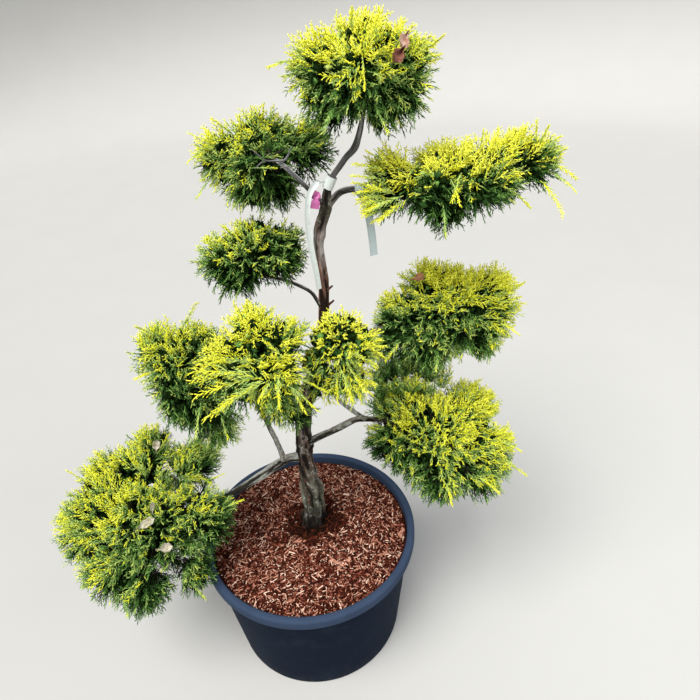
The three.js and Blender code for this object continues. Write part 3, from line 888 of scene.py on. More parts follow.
@dataclass
class Pot:
    """The tapered tub with its rolled lip."""

    height: float = 315
    rim_radius: float = 250
    base_radius: float = 207
    wall_top_radius: float = 237
    wall: float = 4.5
    floor: float = 6
    lip_depth: float = 25
    lip_round: float = 7
    lip_edge: float = 2.5
    foot_round: float = 5
    segments: int = 200

    def inner_radius(self, height: float) -> float:
        """The radius of the wall's inside at a height."""
        share = (height - self.floor) / (self.height - self.lip_round - self.floor)
        return self.base_radius + (self.wall_top_radius - self.base_radius) * share - self.wall

    def arc(self, centre: Pair, radius: float, start: float, end: float, steps: int) -> list:
        """Points of an arc in the profile's plane: centre plus radius times (cos, sin), in degrees."""
        turn = np.radians(np.linspace(start, end, steps))
        return [(centre[0] + radius * math.cos(t), centre[1] + radius * math.sin(t)) for t in turn]

    def profile(self) -> Array:
        """The pot's outline.

        Returns:
            Radii and heights, (n, 2), from the middle of the underside to the middle of the floor.
        """
        under = self.height - self.lip_depth
        inner = self.wall_top_radius - self.wall
        foot, top, edge = self.foot_round, self.lip_round, self.lip_edge
        wall = np.linspace([self.base_radius, foot], [self.wall_top_radius, under - 3], 24)
        return np.array(
            [
                (0.01, 0),
                (self.base_radius * 0.5, 0),
                *self.arc((self.base_radius - foot, foot), foot, -90, 0, 6)[:-1],
                *wall,
                *self.arc((self.wall_top_radius + 3, under - 3), 3, 180, 90, 4)[1:],
                *self.arc((self.rim_radius - edge, under + edge), edge, -90, 0, 5),
                (self.rim_radius, under + self.lip_depth * 0.5),
                *self.arc((self.rim_radius - top, self.height - top), top, 0, 90, 9),
                *self.arc((inner + top, self.height - top), top, 90, 180, 9),
                (inner, self.height - self.lip_depth),
                (self.inner_radius(150), 150),
                (self.base_radius - self.wall, self.floor),
                (0.01, self.floor),
            ]
        )

    def build(self) -> None:
        """Turns the profile about Z and dresses it."""
        points = turned(self.profile(), self.segments)
        finish = PotFinish("slate_plastic", (self.height - self.lip_depth) * METRES)
        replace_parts(Shape.surface(points).piece("pot_shell", finish), "pot")


@dataclass
class Mulch:
    """Shredded bark that fills the pot: an uneven bed and thousands of loose chips of a few colours.

    The bed's unevenness is rows of a height, the size of its lumps and a noise's number. A large chip is its
    x, y, way round, length and width. A colour's last number is its share of the chips.
    """

    pot: Pot
    rng: Chance
    trunk_foot: Pair = (8, 26)
    edge_height: float = 296
    crown_height: float = 301.5
    mound_radius: float = 50
    mound_rise: float = 15
    unevenness: tuple[tuple[float, float, int], ...] = ((3.4, 24, 5), (4.4, 8, 6))
    sunk: float = 2.5
    shade_radius: float = 68
    shade_stray: float = 9
    shade_draw: float = 0.34
    gap: float = 0.6
    rings: int = 110
    columns: int = 240
    chip_count: int = 13000
    chip_shortest: float = 3.5
    chip_longest: float = 20
    short_chips: float = 3.4
    chip_tilt: float = 0.3
    chip_lift: Pair = (0.4, 3.0)
    clear_of_trunk: float = 34
    clear_of_wall: float = 1.5
    clear_of_edge: float = 4
    large_chip_draw: float = 0.82
    chip_colours: tuple[tuple[str, Colour, float], ...] = (
        ("chips_dark", (0.022, 0.006, 0.003), 0.20),
        ("chips_brown", (0.090, 0.020, 0.010), 0.27),
        ("chips_rust", (0.205, 0.058, 0.034), 0.21),
        ("chips_tan", (0.45, 0.21, 0.14), 0.22),
        ("chips_pale", (0.74, 0.52, 0.40), 0.12),
    )
    large_chips: tuple[tuple[float, ...], ...] = (
        (-23, -36, 0.1, 34, 6),
        (82, -102, 0.7, 36, 7),
        (60, -98, -0.5, 28, 6),
        (25, -123, 0.9, 24, 6),
        (217, -26, 1.1, 30, 9),
        (48, -53, 2.4, 24, 5),
        (-38, -187, 0.3, 22, 5),
        (124, 78, 2.8, 20, 6),
    )

    def from_trunk(self, x: Array, y: Array) -> Array:
        """How far places lie from the trunk's foot."""
        return np.hypot(x - self.trunk_foot[0], y - self.trunk_foot[1])

    def level(self, x: Array, y: Array) -> Array:
        """The bed's height: higher towards the middle, mounded round the trunk, uneven by two noises.

        Args:
            x: places across.
            y: places from front to back.

        Returns:
            Heights at those places.
        """
        away = np.hypot(x, y) / self.edge_radius()
        mound = np.exp(-(self.from_trunk(x, y) / self.mound_radius) ** 2)
        place = np.stack([x, y, np.zeros_like(x)], -1)
        uneven = 0
        for high, size, seed in self.unevenness:
            uneven = uneven + high * (lattice_noise(place / size, seed) - 0.5)
        rise = (self.crown_height - self.edge_height) * (1 - away**2)
        return self.edge_height + rise + self.mound_rise * mound + uneven - self.sunk

    def edge_radius(self) -> float:
        """How far the bed reaches to, just short of the pot's wall."""
        return self.pot.inner_radius(self.edge_height) - self.gap

    def bed(self) -> Shape:
        """The bed: rings of points from the middle out, then down the wall to the pot's floor.

        Returns:
            The bed as one closed surface.
        """
        reach = self.edge_radius()
        rings = reach * np.linspace(0.004, 1, self.rings)[:, None]
        turn = angles(self.columns)[None, :]
        x, y = rings * np.cos(turn), rings * np.sin(turn)
        top = np.stack([x, y, self.level(x, y)], -1)
        low_radius = self.pot.inner_radius(self.pot.floor) - self.gap
        foot = turned(np.array([[low_radius, self.pot.floor + 1]]), self.columns)
        middle = foot * np.array([0.01, 0.01, 1])
        return Shape.surface(np.concatenate([middle, foot, top[::-1]]))

    def chips(self) -> tuple[Array, Array]:
        """Loose chips: flat splinters with slanted ends, lying about level and any way round.

        Returns:
            The eight corners of each splinter, (n, 8, 3), and the triangles of one.
        """
        count = self.chip_count
        radius = (self.edge_radius() - self.clear_of_edge) * np.sqrt(self.rng.random(count))
        angle = 2 * np.pi * self.rng.random(count)
        x, y = radius * np.cos(angle), radius * np.sin(angle)
        clear = self.from_trunk(x, y) > self.clear_of_trunk
        x, y = x[clear], y[clear]
        count = len(x)
        shares = self.rng.random(count) ** self.short_chips
        length = self.chip_shortest + (self.chip_longest - self.chip_shortest) * shares
        width = 0.6 + 1.3 * self.rng.random(count) + 0.04 * length
        yaw = 2 * np.pi * self.rng.random(count)
        pitch = self.rng.normal(0, self.chip_tilt, count)
        large = np.array([(*chip, 0) for chip in self.large_chips]).T
        x, y, yaw, length, width, pitch = np.hstack([np.stack([x, y, yaw, length, width, pitch]), large])
        count = len(x)
        along = np.stack([np.cos(yaw) * np.cos(pitch), np.sin(yaw) * np.cos(pitch), np.sin(pitch)], -1)
        level = np.stack([-np.sin(yaw), np.cos(yaw), self.rng.normal(0, self.chip_tilt, count)], -1)
        side = squared(level, along)
        half = length * 0.5
        ends = np.hypot(np.abs(x) + half * np.abs(along[:, 0]), np.abs(y) + half * np.abs(along[:, 1]))
        half = half * np.where(ends > self.edge_radius() - self.clear_of_wall, 0.35, 1)
        lowest, range_up = self.chip_lift
        centre = np.stack([x, y, self.level(x, y) + lowest + range_up * self.rng.random(count)], -1)
        corners = np.array([[-1, -0.5], [-0.75, 0.5], [1, 0.35], [0.8, -0.5]])
        lengthwise = along[:, None] * (corners[None, :, :1] * half[:, None, None])
        flat = centre[:, None] + lengthwise + side[:, None] * (corners[None, :, 1:] * width[:, None, None])
        thick = np.cross(along, side)[:, None] * (0.3 + 0.12 * width)[:, None, None]
        splinter = [[0, 2, 1], [0, 3, 2], [4, 5, 6], [4, 6, 7]]
        for corner, after in ((0, 1), (1, 2), (2, 3), (3, 0)):
            splinter += [[corner, after, after + 4], [corner, after + 4, corner + 4]]
        return np.concatenate([flat + thick, flat - thick], axis=1), np.array(splinter)

    def build(self) -> None:
        """Builds the bed and deals the chips out by colour, darker ones near the trunk as painted shade."""
        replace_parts(self.bed().piece("mulch_bed", MulchFinish("moist_bark", self.trunk_foot)), "mulch")
        chips, splinter = self.chips()
        centres = chips.mean(axis=1)
        # Chips near the trunk are drawn mostly from the darker colours: painted shade.
        away = self.from_trunk(centres[:, 0], centres[:, 1])
        away += 44 * (lattice_noise(centres * np.array([0.03, 0.03, 0]), 8) - 0.5)
        near = away + self.rng.normal(0, self.shade_stray, len(away)) < self.shade_radius
        draw = self.rng.random(len(centres)) * np.where(near, self.shade_draw, 1)
        draw[-len(self.large_chips) :] = self.large_chip_draw
        bounds = np.cumsum([share for _, _, share in self.chip_colours])
        dealt = np.minimum(np.searchsorted(bounds, draw), len(bounds) - 1)
        for number, (name, colour, _) in enumerate(self.chip_colours):
            chosen = chips[dealt == number]
            shape = Shape(chosen.reshape(-1, 3), repeated(splinter, 8, len(chosen)))
            shape.piece(name, PlainFinish(name, Slot.MULCH, colour, 0.85, 0.05), smooth=False)


TRUNK_FOOT = 302.3
TRUNK = Limb(
    "trunk",
    (
        (8, 26, TRUNK_FOOT, 33), (11, 23, 330, 26), (14, 18, 400, 23.5), (9, 15, 541, 20), (26, 15, 670, 17),
        (64, 15, 800, 12.5), (83, 15, 900, 10.6), (83, 15, 975, 10.2), (82, 15, 1012, 7.6),
        (86, 15, 1042, 9.8), (99, 15, 1078, 11.0), (104, 15, 1104, 9.2), (110, 15, 1124, 6.2),
        (137, 14, 1159, 5.4), (153, 14, 1175, 5.4), (164, 12, 1203, 5), (169, 11, 1226, 4.6),
    ),
)
STUBS = (
    Limb("stub_high", ((83, 15, 922, 3.2), (101, 9.6, 938, 1.7))),
    Limb("stub_middle", ((82, 15, 890, 3.2), (101.5, 19, 903.6, 1.8))),
    Limb("stub_upper", ((83, 15, 985, 2.6), (90.7, 1.2, 1005, 1.4))),
    Limb("stub_low", ((8, 15, 585, 8), (17.3, -8, 593, 6), (20, -11, 596, 4.6))),
)
BOUGH_STATIONS: dict[str, tuple[Station, ...]] = {
    "bough_low_left": (
        (8, 15, 522, 12), (-30, 10, 522, 10.5), (-90, 0, 488, 9), (-158, -10, 450, 8), (-196, -22, 438, 7),
    ),
    "bough_low_right": (
        (10, 15, 556, 9), (40, 15, 573, 8), (82, 15, 593, 7.2), (130, 11, 620, 6.8), (168, 5, 622, 6.2),
    ),
    "bough_front": (
        (-37, 9, 519, 7), (-41, 0, 562, 6), (-45, -16, 610, 5.4), (-49, -34, 653, 5), (-51, -62, 710, 4.5),
        (-49, -100, 764, 4),
    ),
    "bough_front_left": (
        (24, 15, 650, 7.5), (-10, 2, 672, 6), (-62, -20, 708, 5.2), (-108, -36, 735, 4.6),
        (-128, -41, 752, 4.2),
    ),
    "bough_front_right": (
        (149, 9, 622, 5), (137, -8, 645, 4.8), (117, -30, 683, 4.5), (92, -58, 738, 4.2),
        (94, -74, 775, 3.8),
    ),
    "bough_mid_right": (
        (62, 15, 792, 8), (88, 19, 800, 6.6), (128, 29, 806, 5.8), (178, 44, 818, 5.2), (205, 50, 823, 4.8),
    ),
    "bough_mid_left": (
        (82, 15, 880, 4.6), (73, 16, 900, 3.8), (60, 20, 923, 3.4), (28, 30, 939, 3.2), (6, 36, 946, 3),
    ),
    "bough_top_left": (
        (99, 15, 1082, 5.6), (89, 12, 1098, 4.4), (68, 8, 1125, 3.9), (40, 4, 1157, 3.4),
        (26, 14, 1166, 2.8),
    ),
    "bough_top_right": (
        (99, 15, 1078, 7), (112, 14, 1094, 6.2), (129, 10, 1109, 5.6), (155, 5, 1113, 5),
        (186, 2, 1108, 4.6),
    ),
}
BOUGHS = tuple(Limb(name, stations) for name, stations in BOUGH_STATIONS.items())
BARE_TWIGS = (
    Limb(
        "twig_high",
        (
            (41.3, 4, 1166.3, 1.9), (26.6, 0, 1167.5, 1.6), (12.5, -5, 1170.5, 1.3), (2.1, -7, 1180, 1),
            (-7.2, -8, 1190, 0.7),
        ),
    ),
    Limb("twig_low", ((13.1, -5, 1170.4, 1.1), (4.9, -6, 1167.3, 1), (-5.7, -7, 1159, 0.7))),
    Limb("twig_back", ((42, 5, 1166.8, 1.8), (47.6, 6, 1174, 1.4), (53.7, 6, 1185.8, 1))),
    Limb("twig_side", ((51.6, 6, 1153.4, 1.8), (42.8, 1, 1157.6, 1.3), (33.4, -3, 1156.9, 0.8))),
)
LIMBS = {limb.name: limb for limb in (TRUNK, *BOUGHS)}


@dataclass
class Wood:
    """The trunk with its stubs, and the boughs, each with bark relief."""

    trunk_rows: int = 620
    trunk_columns: int = 88
    bough_rows: int = 130
    bough_columns: int = 26
    relief: float = 3.2
    bough_relief: float = 2.2
    stub_relief: float = 1.2
    twig_relief: float = 0.8
    trunk_twist: float = 0.006
    knots: tuple[Knot, ...] = (
        Knot(316, 4.4, 15, 5), Knot(322, 3.0, 17, 7), Knot(338, 5.6, 14, 5), Knot(372, 3.9, 16, 4),
        Knot(404, 0.1, 25, 5.5), Knot(415, 5.3, 13, 3.5), Knot(468, 4.2, 14, 3), Knot(536, 3.3, 20, 5),
        Knot(560, 4.9, 17, 5), Knot(556, 0.3, 14, 3.5), Knot(1034, 4.0, 8, 2.8), Knot(1046, 5.6, 6, 2.6),
        Knot(1056, 2.6, 8, 3.4), Knot(1068, 5.3, 8, 3.2), Knot(1076, 0.4, 8, 3.2), Knot(1082, 3.4, 9, 2.8),
        Knot(1092, 4.8, 6, 2.4), Knot(1178, 5.2, 7, 1.6), Knot(950, 5.6, 8, 1.2),
    )
    trunk_finish: BarkFinish = BarkFinish(
        "trunk_bark",
        (
            (0.312, (0.008, 0.006, 0.004)), (0.345, (0.036, 0.033, 0.026)), (0.38, (0.054, 0.055, 0.038)),
            (0.46, (0.062, 0.055, 0.040)), (0.52, (0.080, 0.052, 0.040)), (0.565, (0.042, 0.032, 0.024)),
            (0.60, (0.105, 0.082, 0.070)), (0.66, (0.130, 0.098, 0.080)), (0.86, (0.125, 0.052, 0.034)),
            (0.97, (0.105, 0.056, 0.040)), (1.00, (0.15, 0.135, 0.13)), (1.045, (0.085, 0.072, 0.066)),
            (1.068, (0.030, 0.026, 0.016)), (1.105, (0.050, 0.044, 0.034)), (1.13, (0.150, 0.150, 0.152)),
            (1.19, (0.158, 0.156, 0.158)), (1.25, (0.12, 0.112, 0.110)),
        ),
    )
    bough_finish: BarkFinish = BarkFinish(
        "bough_bark",
        (
            (0.42, (0.19, 0.19, 0.17)), (0.52, (0.14, 0.13, 0.11)), (0.60, (0.085, 0.076, 0.058)),
            (0.75, (0.075, 0.060, 0.046)), (0.90, (0.050, 0.040, 0.034)), (0.95, (0.085, 0.077, 0.070)),
            (1.09, (0.085, 0.076, 0.070)), (1.14, (0.165, 0.162, 0.165)),
        ),
        lichen_share=1.0,
        lichen_from=0.49,
        rust_share=0.35,
    )

    def build(self) -> None:
        """Builds both pieces in place of the plain limbs."""
        size = (self.trunk_rows, self.trunk_columns, self.relief)
        trunk = TRUNK.surface(*size, Flare(TRUNK_FOOT), self.knots, self.trunk_twist)
        stubs = [stub.surface(24, 20, self.stub_relief) for stub in STUBS]
        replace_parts(Shape.joined([trunk, *stubs]).piece("trunk_bark", self.trunk_finish), "trunk")
        boughs = [bough.surface(self.bough_rows, self.bough_columns, self.bough_relief) for bough in BOUGHS]
        boughs += [twig.surface(24, 8, self.twig_relief) for twig in BARE_TWIGS]
        piece = Shape.joined(boughs).piece("bough_bark", self.bough_finish)
        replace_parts(piece, *(bough.name for bough in BOUGHS))


@dataclass(frozen=True)
class Mass:
    """One clipped mass.

    Its lobes are x, y, z and reach, the first its heart. The limb carries it. Its surface is as golden as
    its golden level, which carries painted light and shade too, and more so where it faces the way of its
    painted light, less
    where it faces away: painted light and painted shade.
    """

    name: str
    limb: str
    gold: float
    painted_light_facing: Point
    lobes: tuple[Station, ...]


MASSES = (
    Mass(
        "crown_top", "trunk", 0.43, (0.03, 0.05, 0.56),
        (
            (169, 10, 1290, 84), (187, 10, 1320, 50), (103, 18, 1293, 58), (238, 10, 1296, 58),
            (110, -6, 1253, 48), (234, 0, 1250, 46), (158, -45, 1284, 64), (184, 66, 1280, 78),
            (122, 2, 1222, 32), (198, 2, 1220, 32),
        ),
    ),
    Mass(
        "pad_top_left", "bough_top_left", 0.24, (-0.26, 0, 0.30),
        (
            (-6, 96, 1156, 76), (-74, 95, 1156, 60), (-2, 100, 1182, 60), (72, 110, 1160, 60),
            (-29, 86, 1106, 60), (22, 92, 1096, 44), (-14, 52, 1160, 58),
        ),
    ),
    Mass(
        "pad_top_right", "bough_top_right", 0.34, (0.14, 0.40, 1.10),
        (
            (299, 5, 1120, 74), (214, 5, 1122, 62), (380, 5, 1129, 68), (446, 5, 1138, 54),
            (304, -12, 1078, 50), (190, -28, 1102, 35), (420, 20, 1162, 40), (301, 65, 1112, 62),
            (404, 60, 1118, 58), (262, -56, 1122, 52), (359, -52, 1120, 52),
        ),
    ),
    Mass(
        "pad_mid_left", "bough_mid_left", 0.12, (-0.15, 0, 0.46),
        (
            (-46, 52, 990, 74), (-98, 52, 980, 58), (16, 62, 1002, 52), (-78, 45, 948, 44),
            (-34, 74, 1014, 52), (20, 46, 972, 44),
        ),
    ),
    Mass(
        "pad_mid_right", "bough_mid_right", 0.45, (0.32, 0.18, 0.66),
        (
            (308, 60, 846, 92), (396, 60, 860, 82), (232, 60, 834, 68), (294, 92, 886, 64),
            (286, 26, 788, 64), (384, 30, 816, 66), (210, 42, 798, 48),
        ),
    ),
    Mass(
        "pad_low_right", "bough_low_right", 0.19, (0.2, -0.08, 0.54),
        (
            (288, -6, 576, 110), (226, 40, 634, 72), (376, 42, 602, 76), (396, -10, 530, 86),
            (300, -50, 516, 80), (208, -6, 572, 77), (386, -52, 496, 60),
        ),
    ),
    Mass(
        "pad_front_left", "bough_front_left", 0.14, (-0.15, 0.03, 0.52),
        (
            (-190, -52, 816, 78), (-224, -30, 850, 60), (-166, -18, 850, 58), (-187, -75, 768, 66),
            (-152, -60, 730, 54), (-132, -44, 862, 44),
        ),
    ),
    Mass(
        "pad_front", "bough_front", 0.37, (-0.06, -0.08, 0.58),
        (
            (-21, -140, 880, 74), (-35, -118, 930, 56), (24, -122, 912, 46), (-80, -142, 888, 56),
            (-68, -162, 852, 48), (4, -180, 878, 58), (-4, -128, 792, 52), (22, -108, 738, 36),
        ),
    ),
    Mass(
        "pad_front_right", "bough_front_right", 0.55, (0.12, -0.1, 0.44),
        (
            (118, -96, 874, 57), (112, -86, 904, 44), (148, -98, 874, 45), (80, -100, 886, 40),
            (62, -102, 848, 40), (66, -104, 800, 37), (104, -104, 808, 36), (126, -115, 806, 42),
        ),
    ),
    Mass(
        "pad_low_left", "bough_low_left", 0.04, (-0.18, -0.06, 0.58),
        (
            (-332, -79, 440, 128), (-424, -13, 480, 84), (-346, 32, 520, 80), (-335, 54, 556, 50),
            (-458, -60, 430, 96), (-414, -138, 372, 76), (-344, -166, 342, 64), (-208, -76, 452, 76),
            (-246, 36, 502, 66), (-242, -136, 352, 56), (-436, 20, 494, 70),
        ),
    ),
)


def from_rows(kind: type, *rows: tuple[float, ...]) -> tuple:
    """One of a kind for each row: from its first three numbers, its next three, and the rest one by one."""
    return tuple(kind(row[:3], row[3:6], *row[6:]) for row in rows)


@dataclass(frozen=True)
class Wisp:
    """A long unclipped shoot that arches out of a mass: root, tip, how far it bows upwards, and its gold."""

    root: Point
    tip: Point
    bow: float
    gold: float = 0.62


WISPS = from_rows(
    Wisp,
    (457, -31, 1143, 486, -72, 1128, 14), (459, -30, 1129, 489, -70, 1108, 14),
    (445, -29, 1117, 470, -81, 1074, 24), (435, -16, 1170, 430, -23, 1209, 0),
    (440, -16, 1170, 448, -29, 1201, 0), (440, -27, 1162, 464, -44, 1187, 6),
    (313, -53, 1144, 290, -105, 1115, 12), (294, -70, 1140, 300, -116, 1114, 12),
    (223, -63, 1118, 155, -95, 1102, 10), (211, -48, 1116, 166, -65, 1138, 6),
    (228, -70, 1114, 180, -104, 1094, 10), (191, -23, 1150, 147, -43, 1166, 4),
    (196, -14, 1161, 168, -30, 1182, 2), (240, -51, 1154, 225, -82, 1145, 10),
    (374, -84, 1127, 401, -127, 1108, 14), (281, -84, 1105, 278, -129, 1072, 8, 0.42),
    (409, -21, 1168, 413, -31, 1202, 0), (349, -17, 1171, 349, -28, 1201, 0),
    (-46, 98, 1188, -84, 102, 1220, 4), (-92, 62, 1181, -118, 21, 1167, 8),
    (-95, 66, 1128, -118, 31, 1104, 6, 0.4), (6, 68, 1219, 15, 54, 1246, 0),
    (72, -10, 1308, 36, -41, 1304, 6), (265, -19, 1313, 284, -38, 1331, 0),
    (156, -42, 1343, 158, -55, 1371, 0), (168, -72, 1312, 168, -112, 1276, 6),
    (128, -73, 1256, 107, -112, 1226, 6, 0.25), (182, -75, 1253, 197, -115, 1221, 6, 0.3),
    (191, -44, 1124, 145, -59, 1143, 4), (194, -49, 1115, 150, -74, 1120, 8),
    (205, -51, 1106, 164, -78, 1103, 8), (220, -53, 1102, 181, -81, 1087, 8),
    (191, -36, 1138, 143, -54, 1151, 4), (199, -49, 1110, 155, -77, 1110, 8),
    (198, -45, 1122, 153, -68, 1130, 6), (-147, -110, 783, -155, -161, 741, 6, 0.4),
    (-123, -89, 739, -108, -130, 710, 6, 0.4), (223, 4, 812, 189, -34, 793, 6),
    (-305, 10, 568, -270, 16, 616, 2), (-218, -38, 509, -161, -38, 536, 6),
    (-9, -215, 898, -112, -227, 929, 26), (-11, -216, 896, -100, -262, 862, 26),
    (-14, -216, 897, -87, -260, 868, 20), (-6, -219, 896, -68, -259, 882, 14),
    (-16, -214, 900, -110, -248, 897, 22), (-30, -201, 905, -118, -228, 912, 20),
    (14, -217, 900, 16, -262, 878, 8), (3, -219, 896, -15, -257, 886, 8),
    (26, -215, 885, 73, -259, 863, 14), (32, -213, 877, 53, -253, 856, 10),
    (-22, -197, 916, -83, -212, 942, 12), (19, -184, 919, -6, -190, 954, 4),
    (-38, -187, 915, -107, -210, 928, 16), (36, -206, 892, 85, -238, 884, 10),
    (106, -134, 860, 123, -186, 821, 12), (117, -138, 868, 143, -185, 840, 12),
    (100, -126, 847, 99, -175, 811, 8), (126, -135, 884, 168, -171, 879, 8),
    (-213, -51, 891, -244, -61, 921, 2), (-174, -30, 893, -138, -27, 942, 0),
    (-215, -100, 850, -243, -129, 855, 6), (424, -47, 584, 459, -79, 582, 8),
    (426, -70, 554, 465, -108, 543, 10), (368, -90, 536, 406, -132, 522, 10),
    (301, -113, 541, 305, -156, 524, 8), (431, 18, 897, 453, 4, 923, 2), (409, -12, 849, 436, -49, 841, 8),
    (292, -23, 799, 281, -64, 784, 6, 0.4), (-321, 25, 582, -321, 28, 633, 0),
    (-231, -15, 516, -188, -46, 517, 6), (-369, -201, 374, -352, -242, 361, 6, 0.4),
    (-159, -85, 486, -115, -92, 512, 4), (-241, -175, 371, -201, -214, 361, 8, 0.4),
    (-456, -38, 539, -482, -41, 580, 2), (-113, 15, 998, -131, -8, 1009, 4, 0.4),
    (-64, 8, 951, -70, -25, 940, 4, 0.3), (-20, 2, 1172, 36, -14, 1178, 4, 0.35),
    (-16, 4, 1158, 30, -16, 1160, 4, 0.3), (-4, 26, 1182, 52, 8, 1188, 4, 0.2),
    (16, 50, 1162, 64, 28, 1178, 4, 0.12), (8, 40, 1150, 58, 20, 1152, 4, 0.05),
    (28, 60, 1184, 74, 44, 1192, 4, 0.2), (6, 44, 1136, 50, 24, 1132, 4, 0.1),
    (196, -40, 1114, 146, -16, 1112, 6, 0.6), (200, -44, 1104, 150, -26, 1100, 6, 0.5),
    (206, -46, 1098, 156, -32, 1088, 6, 0.6), (212, -48, 1094, 162, -44, 1082, 6, 0.55),
    (216, -46, 1090, 172, -46, 1072, 6, 0.6), (204, -30, 1092, 160, -18, 1080, 6, 0.4),
    (200, -20, 1090, 166, -6, 1072, 6, 0.35),
)


@dataclass(frozen=True)
class Clump:
    """A few plumes that fan out from a foot in a mass to a disc about a tip beyond it."""

    foot: Point
    tip: Point
    gold: float


CLUMPS = from_rows(
    Clump,
    (196, 42, 672, 178, 50, 728, 0.13), (212, 42, 678, 206, 52, 738, 0.20),
    (236, 42, 682, 235, 54, 742, 0.28), (262, 44, 680, 264, 54, 736, 0.20),
    (284, 46, 668, 292, 54, 720, 0.30), (312, 46, 652, 320, 52, 704, 0.38),
    (192, 14, 662, 170, 14, 712, 0.16), (214, 16, 668, 212, 18, 716, 0.33),
    (244, 18, 668, 246, 20, 712, 0.38), (276, 20, 656, 282, 24, 700, 0.33),
    (190, -8, 640, 166, -6, 682, 0.23), (214, 44, 790, 186, 40, 748, 0.13),
    (240, 40, 780, 228, 40, 742, 0.08), (268, 34, 770, 262, 34, 738, 0.13),
    (204, 40, 800, 166, 30, 772, 0.18), (220, 76, 668, 212, 86, 724, 0.28),
    (250, 78, 668, 250, 88, 726, 0.33), (280, 76, 656, 284, 86, 710, 0.38),
    (194, 62, 660, 178, 68, 714, 0.28), (340, 64, 863, 338, 70, 925, 0.75),
    (346, 64, 872, 354, 66, 930, 0.85), (360, 60, 866, 372, 58, 922, 0.9),
    (348, 40, 862, 356, 26, 908, 0.7), (352, 46, 822, 356, 34, 772, 0.25),
    (366, 46, 808, 376, 36, 756, 0.2), (378, 44, 796, 392, 36, 740, 0.2),
    (344, 30, 808, 342, 16, 764, 0.25), (388, 44, 800, 408, 36, 756, 0.3),
    (261, 44, 822, 247, 24, 778, 0.18), (-428, -90, 413, -470, -110, 379, 0.15),
    (-205, -66, 768, -226, -62, 716, 0.05), (-190, -66, 750, -203, -62, 702, 0.12),
    (-172, -64, 740, -180, -62, 688, 0.02), (-155, -62, 734, -156, -62, 676, 0.1),
    (-140, -60, 728, -130, -62, 680, 0.15), (-128, -58, 724, -108, -60, 678, 0.2),
    (-160, -62, 700, -174, -64, 656, 0.12), (-146, -60, 700, -148, -62, 646, 0.18),
    (-134, -58, 700, -122, -60, 650, 0.1), (-150, -62, 676, -160, -58, 634, 0.15),
    (-140, -58, 680, -138, -56, 636, 0.2), (-300, 38, 510, -290, 42, 552, 0.2),
    (-268, 38, 508, -260, 42, 552, 0.12), (-244, 38, 510, -230, 42, 560, 0.2),
    (-226, 36, 508, -204, 42, 548, 0.25), (-222, 34, 498, -186, 40, 536, 0.28),
    (-290, 24, 500, -284, 26, 536, 0.25), (-262, 16, 490, -258, 18, 528, 0.15),
    (-290, 36, 436, -270, 0, 484, 0.15), (-292, 10, 440, -272, -24, 482, 0.25),
    (-312, -84, 340, -278, -132, 374, 0.1), (-302, -12, 459, -304, 25, 486, 0.3),
    (-303, -38, 455, -308, -11, 492, 0.35), (-268, -41, 451, -235, -22, 478, 0.25),
    (-280, -39, 452, -258, -14, 484, 0.3), (-261, -107, 434, -232, -142, 440, 0.12),
    (-248, -118, 428, -218, -152, 430, 0.15), (-275, -90, 435, -247, -125, 446, 0.1),
)


class Layer(Enum):
    """Where in a mass a plume grows."""

    OUTER = "outer"
    INNER = "inner"
    CORE = "core"
    LONG = "long"


@dataclass
class Plumes:
    """Many plumes: roots, directions, sideways directions, lengths, droops and how golden each is, painted
    light and shade included.
    """

    roots: Array
    along: Array
    side: Array
    length: Array
    droop: Array
    gold: Array

    @staticmethod
    def headed(roots: Array, headings: Array, droop: Array, gold: Array, rng: Chance) -> "Plumes":
        """Plumes from roots along headings as long as they, each turned about itself by chance.

        Args:
            roots: (n, 3).
            headings: from root to tip, (n, 3).
            droop: how far each tip falls, (n,).
            gold: how golden each is, painted light and shade included, (n,).
            rng: the source of chance.

        Returns:
            The plumes.
        """
        length = np.linalg.norm(headings, axis=1)
        along = unit(headings)
        side, other = square_to(along)
        turn = 2 * np.pi * rng.random((len(roots), 1))
        return Plumes(roots, along, side * np.cos(turn) + other * np.sin(turn), length, droop, gold)

    @staticmethod
    def joined(lots: "list[Plumes]") -> "Plumes":
        """Several lots of plumes as one."""
        return Plumes(*(np.concatenate(parts) for parts in zip(*(vars(lot).values() for lot in lots))))

    def chosen(self, keep: Array) -> "Plumes":
        """The plumes of a mask or a list of numbers."""
        return Plumes(*(part[keep] for part in vars(self).values()))

    def at(self, share: float) -> Array:
        """The places at a share of the plumes' lengths."""
        fall = self.droop * share**2
        return self.roots + self.along * (share * self.length)[:, None] - UP * fall[:, None]


